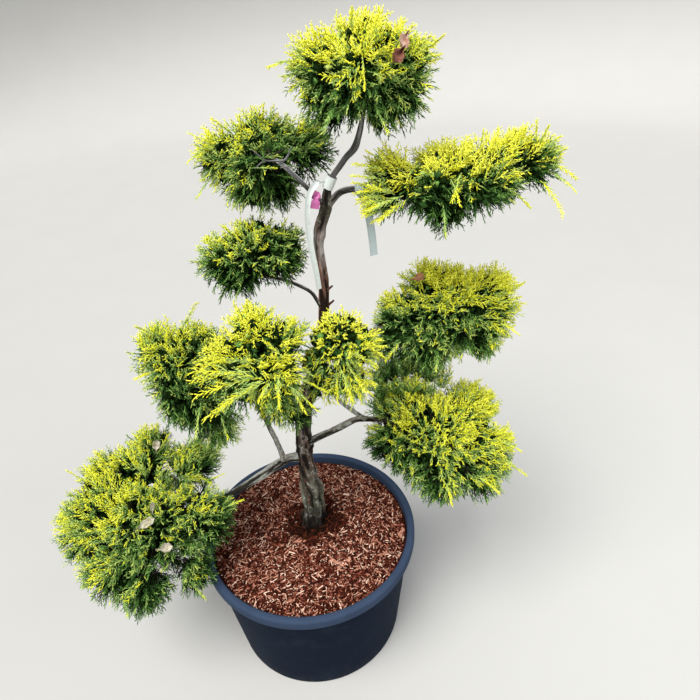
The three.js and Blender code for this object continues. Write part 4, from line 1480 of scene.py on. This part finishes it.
@dataclass(frozen=True)
class PlumePattern:
    """How a feathery plume is made: a rib with sprigs to both sides, each a shoot with short shoots."""

    sprigs: int
    short_shoots: int
    rib_steps: int = 2
    spread: float = 0.52
    rib_width: float = 1.1
    sprig_width: float = 1.15
    short_width: float = 1.05
    sprig_length: float = 0.52
    short_length: float = 0.25
    first_and_last: Pair = (0.08, 0.94)
    place_stray: float = 0.012
    turn_stray: float = 0.4
    spread_stray: float = 0.15
    short_from: Pair = (0.3, 0.8)
    short_spread: float = 0.8
    short_turn_stray: float = 0.7
    short_spread_stray: float = 0.2
    rib_tip_share: float = 0.7

    def places(self) -> Array:
        """Where along the rib the sprigs leave it."""
        return np.linspace(*self.first_and_last, self.sprigs)

    def shoots(self, rng: Chance) -> tuple[Array, Array, Array, Array]:
        """One plume along Z, 1 long.

        Sprigs leave the rib to either side in turn at an angle of about spread radians, shorter towards the
        tip. Short shoots leave each sprig's shoot in the same way.

        Args:
            rng: the source of chance.

        Returns:
            Roots (n, 3), tips (n, 3), widths in millimetres (n,) and the number of each shoot's sprig (n,);
            the rib's number comes after the last sprig's.
        """
        place = self.places() + rng.normal(0, self.place_stray, self.sprigs)
        turn = np.pi * np.arange(self.sprigs) + rng.normal(0, self.turn_stray, self.sprigs)
        angle = self.spread * (1 + rng.normal(0, self.spread_stray, self.sprigs))
        length = (self.sprig_length * (1.02 - place) ** 0.55 + 0.06) * (0.8 + 0.4 * rng.random(self.sprigs))
        heading = np.stack([np.cos(turn) * np.sin(angle), np.sin(turn) * np.sin(angle), np.cos(angle)], -1)
        roots = np.stack([0 * place, 0 * place, place], -1)
        tips = roots + heading * length[:, None]
        share = np.linspace(*self.short_from, self.short_shoots)[None, :, None]
        starts = roots[:, None] + (tips - roots)[:, None] * share
        count = (self.sprigs, self.short_shoots)
        twist = np.pi * np.arange(self.short_shoots)[None, :] + rng.normal(0, self.short_turn_stray, count)
        lean = self.short_spread * self.spread * (1 + rng.normal(0, self.short_spread_stray, count))
        out = around(*square_to(heading), twist) * np.sin(lean)[..., None]
        short_heading = heading[:, None] * np.cos(lean)[..., None] + out
        reach = self.short_length * (1.3 - share[..., 0]) * (0.7 + 0.6 * rng.random(count))
        ends = starts + short_heading * reach[..., None]
        rib = np.linspace(0, 1, self.rib_steps + 1)[:, None] * UP
        rib_width = self.rib_width * np.linspace(1, self.rib_tip_share, self.rib_steps)
        short_widths = np.full(self.sprigs * self.short_shoots, self.short_width)
        widths = np.concatenate([rib_width, np.full(self.sprigs, self.sprig_width), short_widths])
        numbers = np.arange(self.sprigs)
        ribs = np.full(self.rib_steps, self.sprigs)
        owners = np.concatenate([ribs, numbers, np.repeat(numbers, self.short_shoots)])
        all_roots = np.concatenate([rib[:-1], roots, starts.reshape(-1, 3)])
        all_tips = np.concatenate([rib[1:], tips, ends.reshape(-1, 3)])
        return all_roots, all_tips, widths, owners


@dataclass
class Foliage:
    """The ten clipped masses: twigs that fork to tufts, and tufts of feathery plumes dealt out by colour."""

    pot: Pot
    rng: Chance
    sharpness: float = 4
    reach_steps: int = 14
    through_lobe: float = 0.9
    beyond_lobe: float = 1.3
    candidates: int = 4200
    tuft_spacing: float = 35.6
    tuft_radius: float = 28
    tuft_depth: float = 64
    tuft_depth_share: float = 0.75
    tuft_sunk: float = 12
    tuft_dome: float = 8
    tuft_lean: float = 0.34
    tip_stray: float = 5
    inner_extent: Pair = (0.5, 0.74)
    plume_start: float = 0.4
    inner_start: float = 0.4
    plume_stray: float = 0.2
    lift: float = 0.16
    under_facing: float = -0.2
    under_droop: float = 5
    mood: float = 0.06
    gold_stray: float = 0.13
    wisp_gold_stray: float = 0.06
    clump_plumes: int = 15
    clump_radius: float = 24
    clump_start: float = 0.25
    core_fullness: float = 13
    core_space: float = 33
    core_reach: float = 0.66
    core_length: float = 34
    core_margin: float = 1.1
    core_gold_share: float = 0.6
    # The core plumes' near-black tints are painted shade deep in the mass.
    core_darker: float = 0.46
    core_darkest: float = -0.3
    core_gold_stray: float = 0.15
    clearance: float = 1.5
    variants: int = 9
    tip_light: float = 0.5
    tip_light_from: float = 0.6
    sprig_stray: float = 0.07
    rib_level: float = 0.3
    counts: tuple[tuple[Layer, int], ...] = ((Layer.OUTER, 9), (Layer.INNER, 3))
    # How much darker the inner plumes are: painted shade.
    darker: float = 0.36
    outer_gold_and_light: Pair = (-0.08, 2.0)
    inner_gold_and_light: Pair = (-0.5, 0.4)
    patterns: tuple[tuple[Layer, PlumePattern], ...] = (
        (Layer.OUTER, PlumePattern(7, 2)),
        (Layer.INNER, PlumePattern(6, 1, 2, 0.6, 1.3, 1.8, 1.6)),
        (Layer.CORE, PlumePattern(4, 0, 1, 0.8, 7.0, 7.0, 7.0, 0.45)),
        (Layer.LONG, PlumePattern(18, 2, 7, 0.5, 1.2, 1.15, 1.0, 0.18, 0.08)),
    )
    colours: tuple[tuple[str, Colour, float], ...] = (
        ("leaf_shade", (0.006, 0.017, 0.002), -0.20),
        ("leaf_deep", (0.036, 0.090, 0.020), 0.02),
        ("leaf_green", (0.122, 0.255, 0.052), 0.20),
        ("leaf_lime", (0.30, 0.46, 0.12), 0.36),
        ("leaf_yellow_green", (0.54, 0.66, 0.15), 0.54),
        ("leaf_gold", (0.85, 0.86, 0.05), 0.80),
        ("leaf_pale_gold", (0.97, 0.97, 0.10), 9.0),
    )
    twig_colour: Colour = (0.032, 0.023, 0.016)
    stem_end: float = 2.4
    stem_run: float = 0.12
    branch_rise: float = 6
    branch_widths: Pair = (1.9, 1.2)
    twig_widths: Pair = (1.8, 1.1)
    stalk_widths: Pair = (0.9, 0.6)

    def fullness(self, points: Array, lobes: Array) -> Array:
        """How full points are of foliage: the sum over lobes of exp(sharpness (1 - distance^2 / reach^2)).

        Args:
            points: (n, 3).
            lobes: (k, 4).

        Returns:
            The fullness, (n,), which is 1 at a surface.
        """
        total = np.zeros(len(points))
        for x, y, z, radius in lobes:
            share = ((points - (x, y, z)) ** 2).sum(axis=1) / radius**2
            total += np.exp(self.sharpness * (1 - share))
        return total

    def facing(self, points: Array, lobes: Array) -> Array:
        """The way that the surface faces at points: down the slope of the fullness.

        Args:
            points: (n, 3).
            lobes: (k, 4).

        Returns:
            Unit vectors, (n, 3).
        """
        total = np.zeros(points.shape)
        for x, y, z, radius in lobes:
            offset = points - (x, y, z)
            share = (offset**2).sum(axis=1, keepdims=True) / radius**2
            total += np.exp(self.sharpness * (1 - share)) * offset / radius**2
        return unit(total)

    def reach(self, lobes: Array, directions: Array) -> Array:
        """How far a mass reaches from its heart, found by halving the range that holds its surface.

        Args:
            lobes: (k, 4), the heart first.
            directions: unit vectors, (n, 3).

        Returns:
            The distance to where the fullness is 1, (n,).
        """
        heart = lobes[0, :3]
        offsets = lobes[:, :3] - heart
        along = directions @ offsets.T
        aside = np.sqrt(np.maximum((offsets**2).sum(axis=1)[None] - along**2, 0))
        near = np.where(aside < lobes[:, 3] * self.through_lobe, along, 0).max(axis=1).clip(0)
        furthest = (np.linalg.norm(offsets, axis=1) + lobes[:, 3] * self.beyond_lobe).max()
        far = np.full(len(directions), furthest)
        for _ in range(self.reach_steps):
            middle = (near + far) / 2
            inside = self.fullness(heart + directions * middle[:, None], lobes) > 1
            near, far = np.where(inside, middle, near), np.where(inside, far, middle)
        return near

    def tuft_places(self, lobes: Array) -> Array:
        """Evenly spaced places on a mass's surface.

        Fibonacci directions from the heart are followed to the surface. Taken in an order of chance, a place
        is kept where no kept one lies within the tufts' spacing.

        Args:
            lobes: (k, 4).

        Returns:
            The places, (n, 3).
        """
        place = np.arange(self.candidates)
        height = 1 - 2 * (place + 0.5) / self.candidates
        across = np.sqrt(1 - height**2)
        turn = GOLDEN_ANGLE * place
        directions = np.stack([across * np.cos(turn), across * np.sin(turn), height], -1)
        points = lobes[0, :3] + directions * self.reach(lobes, directions)[:, None]
        points = points[self.rng.permutation(self.candidates)]
        free = np.ones(self.candidates, bool)
        kept = []
        while free.any():
            chosen = points[np.argmax(free)]
            kept.append(chosen)
            free &= np.linalg.norm(points - chosen, axis=1) > self.tuft_spacing
        return np.array(kept)

    def fan(self, first: Array, second: Array, count: int, radius: float) -> tuple[Array, Array]:
        """Places set sunflower-wise over discs.

        Args:
            first: one direction in the plane of each disc, (n, 3).
            second: the direction square to it, (n, 3).
            count: how many places in a disc.
            radius: of the discs.

        Returns:
            Offsets from the discs' middles, (n, count, 3), and how far out each lies, from 0 to 1.
        """
        share = (np.arange(count) + self.rng.random((len(first), count))) / count
        turn = GOLDEN_ANGLE * np.arange(count)[None, :] + 2 * np.pi * self.rng.random((len(first), 1))
        reach = radius * np.sqrt(share)
        across = (reach * np.cos(turn))[..., None] * first[:, None]
        return across + (reach * np.sin(turn))[..., None] * second[:, None], share

    def tuft_plumes(self, mass: Mass, places: Array, outer: bool, count: int) -> tuple[Plumes, Array]:
        """The outer or the inner plumes of all the tufts of a mass.

        A tuft's foot lies tuft_depth below its place, half way between the heart's direction and straight
        down. Its plumes fan out to tips set sunflower-wise over a disc of tuft_radius that domes by
        tuft_dome, and lean together to one side. Inner plumes end about half way.

        Args:
            mass: which mass.
            places: on the surface, (n, 3).
            outer: whether they are the outer plumes.
            count: how many plumes in a tuft.

        Returns:
            The plumes, and the foot of each one's tuft.
        """
        lobes = np.array(mass.lobes)
        facing = self.facing(places, lobes)
        from_heart = places - lobes[0, :3]
        reach = np.linalg.norm(from_heart, axis=1)
        depth = np.minimum(self.tuft_depth, reach * self.tuft_depth_share)[:, None]
        feet = places - unit(unit(from_heart) + facing) * depth
        first, second = square_to(facing)
        across, share = self.fan(first, second, count, self.tuft_radius)
        sunk = self.tuft_sunk + self.tuft_dome * share + self.rng.normal(0, self.tip_stray, share.shape)
        tips = (places[:, None] + across - facing[:, None] * sunk[..., None]).reshape(-1, 3)
        feet = np.repeat(feet, count, axis=0)
        extent = 1.0 if outer else self.rng.uniform(*self.inner_extent, (len(feet), 1))
        roots = feet + (tips - feet) * self.plume_start * (1.0 if outer else self.inner_start)
        heading = feet + (tips - feet) * extent - roots
        length = np.linalg.norm(heading, axis=1, keepdims=True)
        face = np.repeat(facing, count, axis=0)
        lean = self.rng.normal(0, self.tuft_lean, (len(places), 2))
        lean = np.repeat(first * lean[:, :1] + second * lean[:, 1:], count, axis=0)
        level = np.sqrt(np.maximum(1 - face[:, 2:] ** 2, 0))
        sway = lean + UP * self.lift * level + self.rng.normal(0, self.plume_stray, heading.shape)
        heading = unit(heading + sway * length) * length
        mood = np.repeat(self.rng.normal(0, self.mood, len(places)), count)
        # Facing the way of the mass's painted light makes a plume more golden, facing away less: painted
        # light and painted shade.
        gold = mass.gold + face @ np.array(mass.painted_light_facing) + mood
        gold = gold + self.rng.normal(0, self.gold_stray, len(face))
        # Inner plumes, deeper in the tuft, are made darker: painted shade.
        gold = np.clip(gold, *self.outer_gold_and_light) if outer else np.clip(gold - self.darker, *self.inner_gold_and_light)
        droop = np.where(face[:, 2] < self.under_facing, self.under_droop, 0.0)
        return Plumes.headed(roots, heading, droop, gold, self.rng), feet

    def core(self, mass: Mass) -> Plumes:
        """Dark plumes any way round deep in each lobe, more in a large one, so no light shows through; their
        dark tints are painted shade.

        Args:
            mass: which mass.

        Returns:
            The plumes.
        """
        lobes = np.array(mass.lobes)
        own = np.repeat(lobes, (lobes[:, 3] ** 2 / self.core_space).astype(int), axis=0)
        away = own[:, 3:] * self.core_reach * np.sqrt(self.rng.random((len(own), 1)))
        middle = own[:, :3] + unit(self.rng.normal(0, 1, (len(own), 3))) * away
        heading = unit(self.rng.normal(0, 1, middle.shape)) * self.core_length
        core_shade_level = max(mass.gold * self.core_gold_share - self.core_darker, self.core_darkest)
        gold = self.rng.normal(core_shade_level, self.core_gold_stray, len(own))
        lot = Plumes.headed(middle - heading / 2, heading, np.zeros(len(own)), gold, self.rng)
        ends = [self.fullness(lot.at(share), lobes) for share in (0, self.core_margin)]
        return lot.chosen(np.minimum(*ends) > self.core_fullness)

    def clumps(self) -> Plumes:
        """The plumes of the clumps, which start a part of the way from foot to tip.

        Returns:
            The plumes.
        """
        feet = np.array([clump.foot for clump in CLUMPS], float)[:, None]
        ends = np.array([clump.tip for clump in CLUMPS], float)[:, None]
        first, second = square_to(unit((ends - feet)[:, 0]))
        across, share = self.fan(first, second, self.clump_plumes, self.clump_radius)
        tips = ends + across - (ends - feet) * (self.clump_start * share[..., None])
        roots = (feet + (tips - feet) * self.clump_start).reshape(-1, 3)
        heading = tips.reshape(-1, 3) - roots + self.rng.normal(0, self.tip_stray, roots.shape)
        gold = np.repeat([clump.gold for clump in CLUMPS], self.clump_plumes)
        gold = gold + self.rng.normal(0, self.gold_stray, len(roots))
        return Plumes.headed(roots, heading, np.zeros(len(roots)), gold, self.rng)

    def wisps(self) -> Plumes:
        """The long shoots, whose heading is from root to tip and up by the bow.

        Returns:
            The plumes, one to a shoot.
        """
        roots = np.array([wisp.root for wisp in WISPS], float)
        tips = np.array([wisp.tip for wisp in WISPS], float)
        bow = np.array([wisp.bow for wisp in WISPS], float)
        gold = np.array([wisp.gold for wisp in WISPS]) + self.rng.normal(0, self.wisp_gold_stray, len(WISPS))
        return Plumes.headed(roots, tips - roots + UP * bow[:, None], bow, gold, self.rng)

    def strays(self, points: Array, others: Array) -> Array:
        """Whether points lie in another mass, close to a limb, or in the pot.

        Args:
            points: (n, 3).
            others: the other masses' lobes, (k, 4).

        Returns:
            A mask, (n,).
        """
        low = points[:, 2] < self.pot.height + self.clearance
        near = np.hypot(points[:, 0], points[:, 1]) < self.pot.rim_radius + self.clearance
        stray = (self.fullness(points, others) > 1) | (low & near)
        for limb in LIMBS.values():
            line, _, radii, _ = limb.samples(60)
            gap = np.linalg.norm(points[:, None] - line[None], axis=2) - radii[None]
            stray |= gap.min(axis=1) < self.clearance
        return stray

    def skeleton(self, mass: Mass) -> Shape:
        """The mass's stem, which goes on from its bough's tip to its heart, and a twig to each lobe.

        Args:
            mass: which mass.

        Returns:
            The rods as one shape.
        """
        point, heading, radius = LIMBS[mass.limb].tip()
        lobes = np.array(mass.lobes)
        heart = lobes[0, :3]
        bend = point + heading * self.stem_run * np.linalg.norm(heart - point)
        rods = [self.rod((point - heading * 2, bend, heart), (radius * 0.95, self.stem_end), 9, 7)]
        for lobe in lobes[1:, :3]:
            middle = (bend + lobe) / 2 + UP * self.branch_rise
            rods.append(self.rod((bend, middle, lobe), self.branch_widths, 7, 5))
        return Shape.joined(rods)

    def rod(self, through: tuple[Array, ...], widths: Pair, count: int, sides: int) -> Shape:
        """A bent rod.

        Args:
            through: three points on its line.
            widths: radii at its two ends.
            count: points along it.
            sides: points in a ring.

        Returns:
            Tapers from point to point.
        """
        line = spline(np.array(through), np.linspace(0, 2, count))
        radii = np.linspace(*widths, count)
        return tapers(line[:-1], line[1:], radii[:-1], radii[1:], sides)

    def twigs(self, mass: Mass, feet: Array, roots: Array) -> Shape:
        """Twigs from the skeleton to every tuft's foot, and from there to each plume.

        Args:
            mass: which mass.
            feet: the foot of each plume's tuft, (n, 3).
            roots: the plumes' roots, (n, 3).

        Returns:
            The twigs as one shape.
        """
        lobes = np.array(mass.lobes)[:, :3]
        tuft_feet = np.unique(feet.round(3), axis=0)
        nearest = np.argmin(np.linalg.norm(tuft_feet[:, None] - lobes[None], axis=2), axis=1)
        main_widths = (np.full(len(tuft_feet), width) for width in self.twig_widths)
        fine_widths = (np.full(len(feet), width) for width in self.stalk_widths)
        main = tapers(lobes[nearest], tuft_feet, *main_widths, 4)
        return Shape.joined([main, tapers(feet, roots, *fine_widths, 3)])

    def grow(self) -> tuple[dict[Layer, Plumes], Shape]:
        """Grows every mass.

        Returns:
            The plumes by layer, and all the twigs.
        """
        plumes = {layer: [] for layer in Layer}
        wood = []
        for mass in MASSES:
            others = np.concatenate([np.array(other.lobes) for other in MASSES if other is not mass])
            places = self.tuft_places(np.array(mass.lobes))
            wood.append(self.skeleton(mass))
            for layer, count in self.counts:
                outer = layer is Layer.OUTER
                lot, feet = self.tuft_plumes(mass, places, outer, count)
                keep = ~(self.strays(lot.at(1), others) | self.strays(lot.at(0.5), others))
                plumes[layer].append(lot.chosen(keep))
                if outer:
                    wood.append(self.twigs(mass, feet[keep], lot.roots[keep]))
            plumes[Layer.CORE].append(self.core(mass))
            log.info("%s: %d tufts", mass.name, len(places))
        plumes[Layer.OUTER].append(self.clumps())
        plumes[Layer.LONG].append(self.wisps())
        return {layer: Plumes.joined(lots) for layer, lots in plumes.items()}, Shape.joined(wood)

    def shoots(self, plumes: Plumes, pattern: PlumePattern) -> tuple[Array, ...]:
        """All shoots of the plumes.

        A pattern's point (x, y, z) goes to root + length (x side + y other + z along) - droop z^2 up. A
        sprig is the more golden the nearer it is to the plume's tip: partly the tips' own golden colour,
        partly painted shade towards the root, deeper in the mass.

        Args:
            plumes: where they grow.
            pattern: how they are made.

        Returns:
            Roots, tips, widths and how golden each shoot is.
        """
        parts = []
        variant = self.rng.integers(0, self.variants, len(plumes.length))
        for number in range(self.variants):
            lot = plumes.chosen(variant == number)
            count = len(lot.length)
            local_roots, local_tips, widths, owners = pattern.shoots(self.rng)
            axes = np.stack([lot.side, np.cross(lot.along, lot.side), lot.along], 1)
            axes = axes * lot.length[:, None, None]
            ends = []
            for local in (local_roots, local_tips):
                fall = lot.droop[:, None] * local[None, :, 2] ** 2
                place = lot.roots[:, None] + local @ axes - UP * fall[..., None]
                ends.append(place.reshape(-1, 3))
            level = np.append(pattern.places(), self.rib_level)
            gold = lot.gold[:, None] + self.tip_light * (level[None] - self.tip_light_from)
            gold = gold + self.rng.normal(0, self.sprig_stray, (count, len(level)))
            parts.append((*ends, np.tile(widths, count), gold[:, owners].reshape(-1)))
        return tuple(np.concatenate(column) for column in zip(*parts))

    def build(self) -> None:
        """Builds the twigs and the leaves, and deals the leaves out by colour, which carries painted light
        and shade, in pieces of limited size.
        """
        plumes, wood = self.grow()
        finish = PlainFinish("twig_bark", Slot.BARK, self.twig_colour, 0.85)
        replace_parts(wood.piece("mass_twigs", finish, smooth=False), *(mass.name for mass in MASSES))
        lots = [self.shoots(plumes[layer], pattern) for layer, pattern in self.patterns]
        roots, tips, widths, gold = (np.concatenate(column) for column in zip(*lots))
        dealt = np.searchsorted([limit for _, _, limit in self.colours], gold)
        for number, (name, colour, _) in enumerate(self.colours):
            chosen = np.flatnonzero(dealt == number)
            finish = PlainFinish(name, Slot.FOLIAGE, colour, 0.5, 0.04 + 0.08 * colour[1])
            pieces = max(1, math.ceil(len(chosen) * 4 / MOST_TRIANGLES))
            for part, share in enumerate(np.array_split(chosen, pieces), 1):
                spikes(roots[share], tips[share], widths[share]).piece(f"{name}_{part}", finish)
        log.info("leaves: %d triangles", 4 * len(gold))


@dataclass(frozen=True)
class Strap:
    """A plastic strip: a band round a limb at a place counted in its stations, and a tail that hangs."""

    name: str
    limb: str
    station: float
    inner: float
    width: float
    facing: float
    tail: tuple[Point, ...]
    finish: StripFinish
    band: float = 14
    thickness: float = 0.8
    turn: float = 0.45
    cockle: float = 1.4
    pinch: float = 0.0
    narrow: float = 0.0
    around_band: int = 48
    along_tail: int = 70
    across_tail: int = 7

    def build(self) -> None:
        """Builds band and tail in place of the plain strip.

        The band is a ring about the limb's line. The tail's line is the curve from the band through its
        points; its width starts along the limb, turns to face the front, dishes by cockle across, and is
        less by the share pinch at half its length and by the share narrow where it leaves the band.
        """
        line = np.array(LIMBS[self.limb].stations)[:, :3]
        around_station = spline(line, self.station + np.array([-0.02, 0, 0.02]))
        centre, axis = around_station[1], unit(around_station[2] - around_station[0])
        outer = self.inner + self.thickness
        outline = [(self.inner, -0.5), (outer, -0.5), (outer, 0.5), (self.inner, 0.5)]
        ring = around(*square_to(axis[None]), angles(self.around_band))[0]
        loops = np.stack([centre + ring * radius + axis * (part * self.band) for radius, part in outline], 1)
        band = Shape(loops.reshape(-1, 3), grid_triangles(self.around_band, len(outline), looped=True))
        tail = np.array(self.tail)
        leaving = squared(tail[0] - centre, axis) * (self.inner + self.thickness / 2)
        path = np.vstack([centre + leaving, tail])
        spine = spline(path, np.linspace(0, len(path) - 1, self.along_tail))
        tangent = unit(np.gradient(spine, axis=0))
        level = math.radians(self.facing)
        hung = np.array([math.cos(level), math.sin(level), 0.0])
        share = np.linspace(0, 1, self.along_tail)
        weight = np.minimum(1, share / self.turn)[:, None]
        across = squared(axis * (1 - weight) + hung * weight, tangent)
        out = np.cross(tangent, across)
        place = np.linspace(-1, 1, self.across_tail)
        dish = self.cockle * weight * (place[None, :] ** 2 - 0.4)
        pinched = self.pinch * np.exp(-(((share - 0.5) / 0.1) ** 2))
        wide = (1 - pinched - self.narrow * np.exp(-((share / 0.1) ** 2))) * (self.width / 2)
        offset = across[:, None] * (place[None, :, None] * wide[:, None, None])
        front = spine[:, None] + offset + out[:, None] * dish[..., None]
        strip = Shape.sheet(front, out[:, None], self.thickness)
        piece = Shape.joined([band, strip]).piece(f"{self.name}_strip", self.finish, smooth=False)
        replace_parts(piece, self.name)


WHITE_STRIP = StripFinish("white_strip", Slot.STRAP, (0.62, 0.66, 0.64), (0.30, 0.33, 0.32))
PALE_STRIP = StripFinish("pale_strip", Slot.STRAP, (0.37, 0.44, 0.44), (0.22, 0.27, 0.27))
PINK_STRIP = StripFinish("pink_strip", Slot.RIBBON, (0.46, 0.11, 0.30), (0.24, 0.06, 0.16))
STRAPS = (
    Strap(
        "strap_long", "trunk", 12.0, 8.6, 9.8, 28,
        (
            (91, 5, 1128), (81, -3, 1120), (74, -9, 1108), (70, -12, 1085), (69, -12, 1056), (71, -11, 1018),
            (75, -9, 979), (77, -7, 941),
        ),
        WHITE_STRIP, band=21, turn=0.14, narrow=0.72,
    ),
    Strap(
        "strap_short", "bough_top_right", 3.1, 6.2, 14, 20,
        ((164, 8, 1098), (170, 8, 1076), (175, 6, 1040), (178, 1, 996)),
        PALE_STRIP,
    ),
    Strap(
        "ribbon", "bough_top_left", 1.25, 6.0, 15, 15, ((87, 0, 1107), (85, -5, 1099), (82, -6, 1088)),
        PINK_STRIP, pinch=0.6,
    ),
)


@dataclass(frozen=True)
class DryLeaf:
    """A dead leaf caught on the foliage: where it lies, the way it faces and points, and its size."""

    name: str
    at: Point
    facing: Point
    towards: Point
    length: float
    width: float
    finish: DryLeafFinish
    curl: float = 0.35
    lifted: float = 3
    thickness: float = 0.35

    def build(self) -> None:
        """Builds the leaf.

        At share s along, the leaf reaches width / 2 sin(pi s^1.6)^1.3 aside, ragged by the sine of 17 s, so
        it is widest beyond its middle and narrows to a stalk. The ends and the edges curl up by the squares
        of the shares along and across, and the leaf is closed by a back at its thickness behind.
        """
        facing = unit(np.array(self.facing))
        along = squared(np.array(self.towards), facing)
        side = np.cross(facing, along)
        s, t = np.meshgrid(np.linspace(0.02, 0.98, 13), np.linspace(-1, 1, 7), indexing="ij")
        half = self.width / 2 * np.maximum(np.sin(np.pi * s**1.6) ** 1.3, 0.07) * (1 + 0.2 * np.sin(17 * s))
        rise = self.curl * (self.width * 0.5 * t**2 + self.length * 0.5 * (s - 0.4) ** 2) + self.lifted
        at = np.array(self.at)
        top = at + along * ((s - 0.5) * self.length)[..., None] + side * (half * t)[..., None]
        shape = Shape.sheet(top + facing * rise[..., None], facing, self.thickness)
        shape.piece(f"dry_leaf_{self.name}", self.finish)


BROWN_LEAF = DryLeafFinish("dry_leaf_brown", (0.36, 0.17, 0.075), (0.16, 0.06, 0.03))
PINK_LEAF = DryLeafFinish("dry_leaf_pink", (0.50, 0.34, 0.26), (0.30, 0.14, 0.09))
RUST_LEAF = DryLeafFinish("dry_leaf_rust", (0.27, 0.10, 0.055), (0.10, 0.03, 0.018))
PALE_LEAF = DryLeafFinish("dry_leaf_pale", (0.46, 0.44, 0.34), (0.22, 0.17, 0.11))
DRY_LEAVES = (
    DryLeaf("crown", (224, -40, 1325), (0.6, -0.6, 0.5), (-0.6, -0.3, -0.65), 38, 19, PINK_LEAF, 0.5),
    DryLeaf("crown_low", (214, -59, 1309), (0.4, -0.8, 0.4), (-0.6, -0.2, -0.6), 33, 19, RUST_LEAF, 0.9),
    DryLeaf("mid_right", (263, 47, 922), (-0.3, -0.6, 0.75), (0.9, -0.1, 0.3), 30, 18, BROWN_LEAF, 0.5),
    DryLeaf("low_left", (-303, -149, 522), (0.2, -0.65, 0.7), (0.85, 0.25, 0.4), 48, 17, PALE_LEAF, 0.6),
    DryLeaf("low_upper", (-294, -120, 538), (0.6, -0.7, 0.3), (0.1, 0.4, 0.9), 29, 11, PALE_LEAF, 0.6),
    DryLeaf("low_front", (-271, -168, 475), (0.3, -0.75, 0.55), (0.9, 0.25, -0.1), 34, 20, PALE_LEAF, 0.6),
    DryLeaf("low_back", (-308, 13, 581), (0.4, -0.75, 0.5), (0.2, 0.4, 0.85), 34, 17, PALE_LEAF, 0.5),
)


@dataclass
class Studio:
    """The pale floor, the soft lights and the camera at the photograph's angle. Places are in metres."""

    floor_radius: float = 6
    floor_curve: float = 1.5
    wall_height: float = 3
    camera_at: Point = (0.1268, -0.9189, 1.3921)
    pitch: float = 32.65
    roll: float = -3.80
    lens: float = 29.06
    sensor: float = 36
    shift: float = -0.0014
    sky: Colour = (0.92, 0.96, 1.0)
    sky_strength: float = 0.62
    sun_from: Point = (-0.28, -0.36, 1.0)
    sun_strength: float = 4.6
    sun_angle: float = 40
    key_colour: Colour = (1.0, 0.985, 0.955)
    fill_from: Point = (2.4, -1.6, 2.0)
    fill_strength: float = 50
    fill_size: float = 2.4
    fill_colour: Colour = (0.94, 0.97, 1.0)
    lit_middle: Point = (0, 0, 0.7)
    floor_columns: int = 72
    floor_finish: FloorFinish = FloorFinish("pale_floor")

    def floor(self) -> None:
        """A flat round floor, whose edge curls up as a quarter circle and goes straight up as a low wall."""
        bend = np.radians(np.linspace(0, 90, 10))
        outer = self.floor_radius + self.floor_curve
        radius = np.concatenate([[0.01, 2, 4], self.floor_radius + self.floor_curve * np.sin(bend), [outer]])
        height = np.concatenate([[0, 0, 0], self.floor_curve * (1 - np.cos(bend)), [self.wall_height]])
        count = self.floor_columns
        points = turned(np.stack([radius, height], -1), count).reshape(-1, 3).tolist()
        hub = [(len(points), k, (k + 1) % count) for k in range(count)]
        mesh = bpy.data.meshes.new("floor")
        faces = grid_triangles(len(radius), count).tolist() + hub
        mesh.from_pydata([*points, (0.0, 0.0, 0.0)], [], faces)
        mesh.shade_smooth()
        mesh.materials.append(self.floor_finish.material())
        linked("floor", mesh)

    def light(self, data: bpy.types.Light, at: Point, colour: Colour) -> None:
        """Hangs a light that faces the middle of the plant.

        Args:
            data: the light.
            at: where it hangs.
            colour: its tint.
        """
        data.color = colour
        light = linked(data.name, data)
        light.location = at
        light.rotation_euler = (Vector(self.lit_middle) - Vector(at)).to_track_quat("-Z", "Y").to_euler()

    def lights(self) -> None:
        """One broad sun for the key, and a large square light that fills from the right."""
        key = bpy.data.lights.new("key", "SUN")
        key.energy, key.angle = self.sun_strength, math.radians(self.sun_angle)
        self.light(key, tuple(3 * part for part in self.sun_from), self.key_colour)
        fill = bpy.data.lights.new("fill", "AREA")
        fill.energy, fill.size = self.fill_strength, self.fill_size
        self.light(fill, self.fill_from, self.fill_colour)

    def camera(self) -> None:
        """A camera pitched down and rolled about its own axis."""
        pitch, roll = math.radians(self.pitch), math.radians(self.roll)
        forward = Vector((0, math.cos(pitch), -math.sin(pitch)))
        level, upright = Vector((1, 0, 0)), Vector((0, math.sin(pitch), math.cos(pitch)))
        right = level * math.cos(roll) + upright * math.sin(roll)
        up = upright * math.cos(roll) - level * math.sin(roll)
        data = bpy.data.cameras.new("camera")
        data.lens, data.sensor_width, data.shift_x = self.lens, self.sensor, self.shift
        data.clip_start, data.clip_end = 0.02, 60
        camera = linked("camera", data)
        axes = Matrix((right, up, -forward)).transposed().to_4x4()
        camera.matrix_world = Matrix.Translation(self.camera_at) @ axes
        bpy.context.scene.camera = camera

    def build(self) -> None:
        """Sets floor, sky, lights and camera."""
        self.floor()
        world = bpy.data.worlds.new("sky")
        world.use_nodes = True
        background = world.node_tree.nodes["Background"]
        background.inputs["Color"].default_value = (*self.sky, 1)
        background.inputs["Strength"].default_value = self.sky_strength
        bpy.context.scene.world = world
        self.lights()
        bpy.context.scene.view_settings.view_transform = "Standard"
        self.camera()


def main() -> None:
    """Loads the frame and builds every sub-assembly in order."""
    logging.basicConfig(level=logging.INFO, format="%(message)s")
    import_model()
    pot = Pot()
    pot.build()
    Mulch(pot, np.random.default_rng(11)).build()
    Wood().build()
    Foliage(pot, np.random.default_rng(7)).build()
    for strap in STRAPS:
        strap.build()
    for leaf in DRY_LEAVES:
        leaf.build()
    Studio().build()
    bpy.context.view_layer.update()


if __name__ == "__main__":
    main()
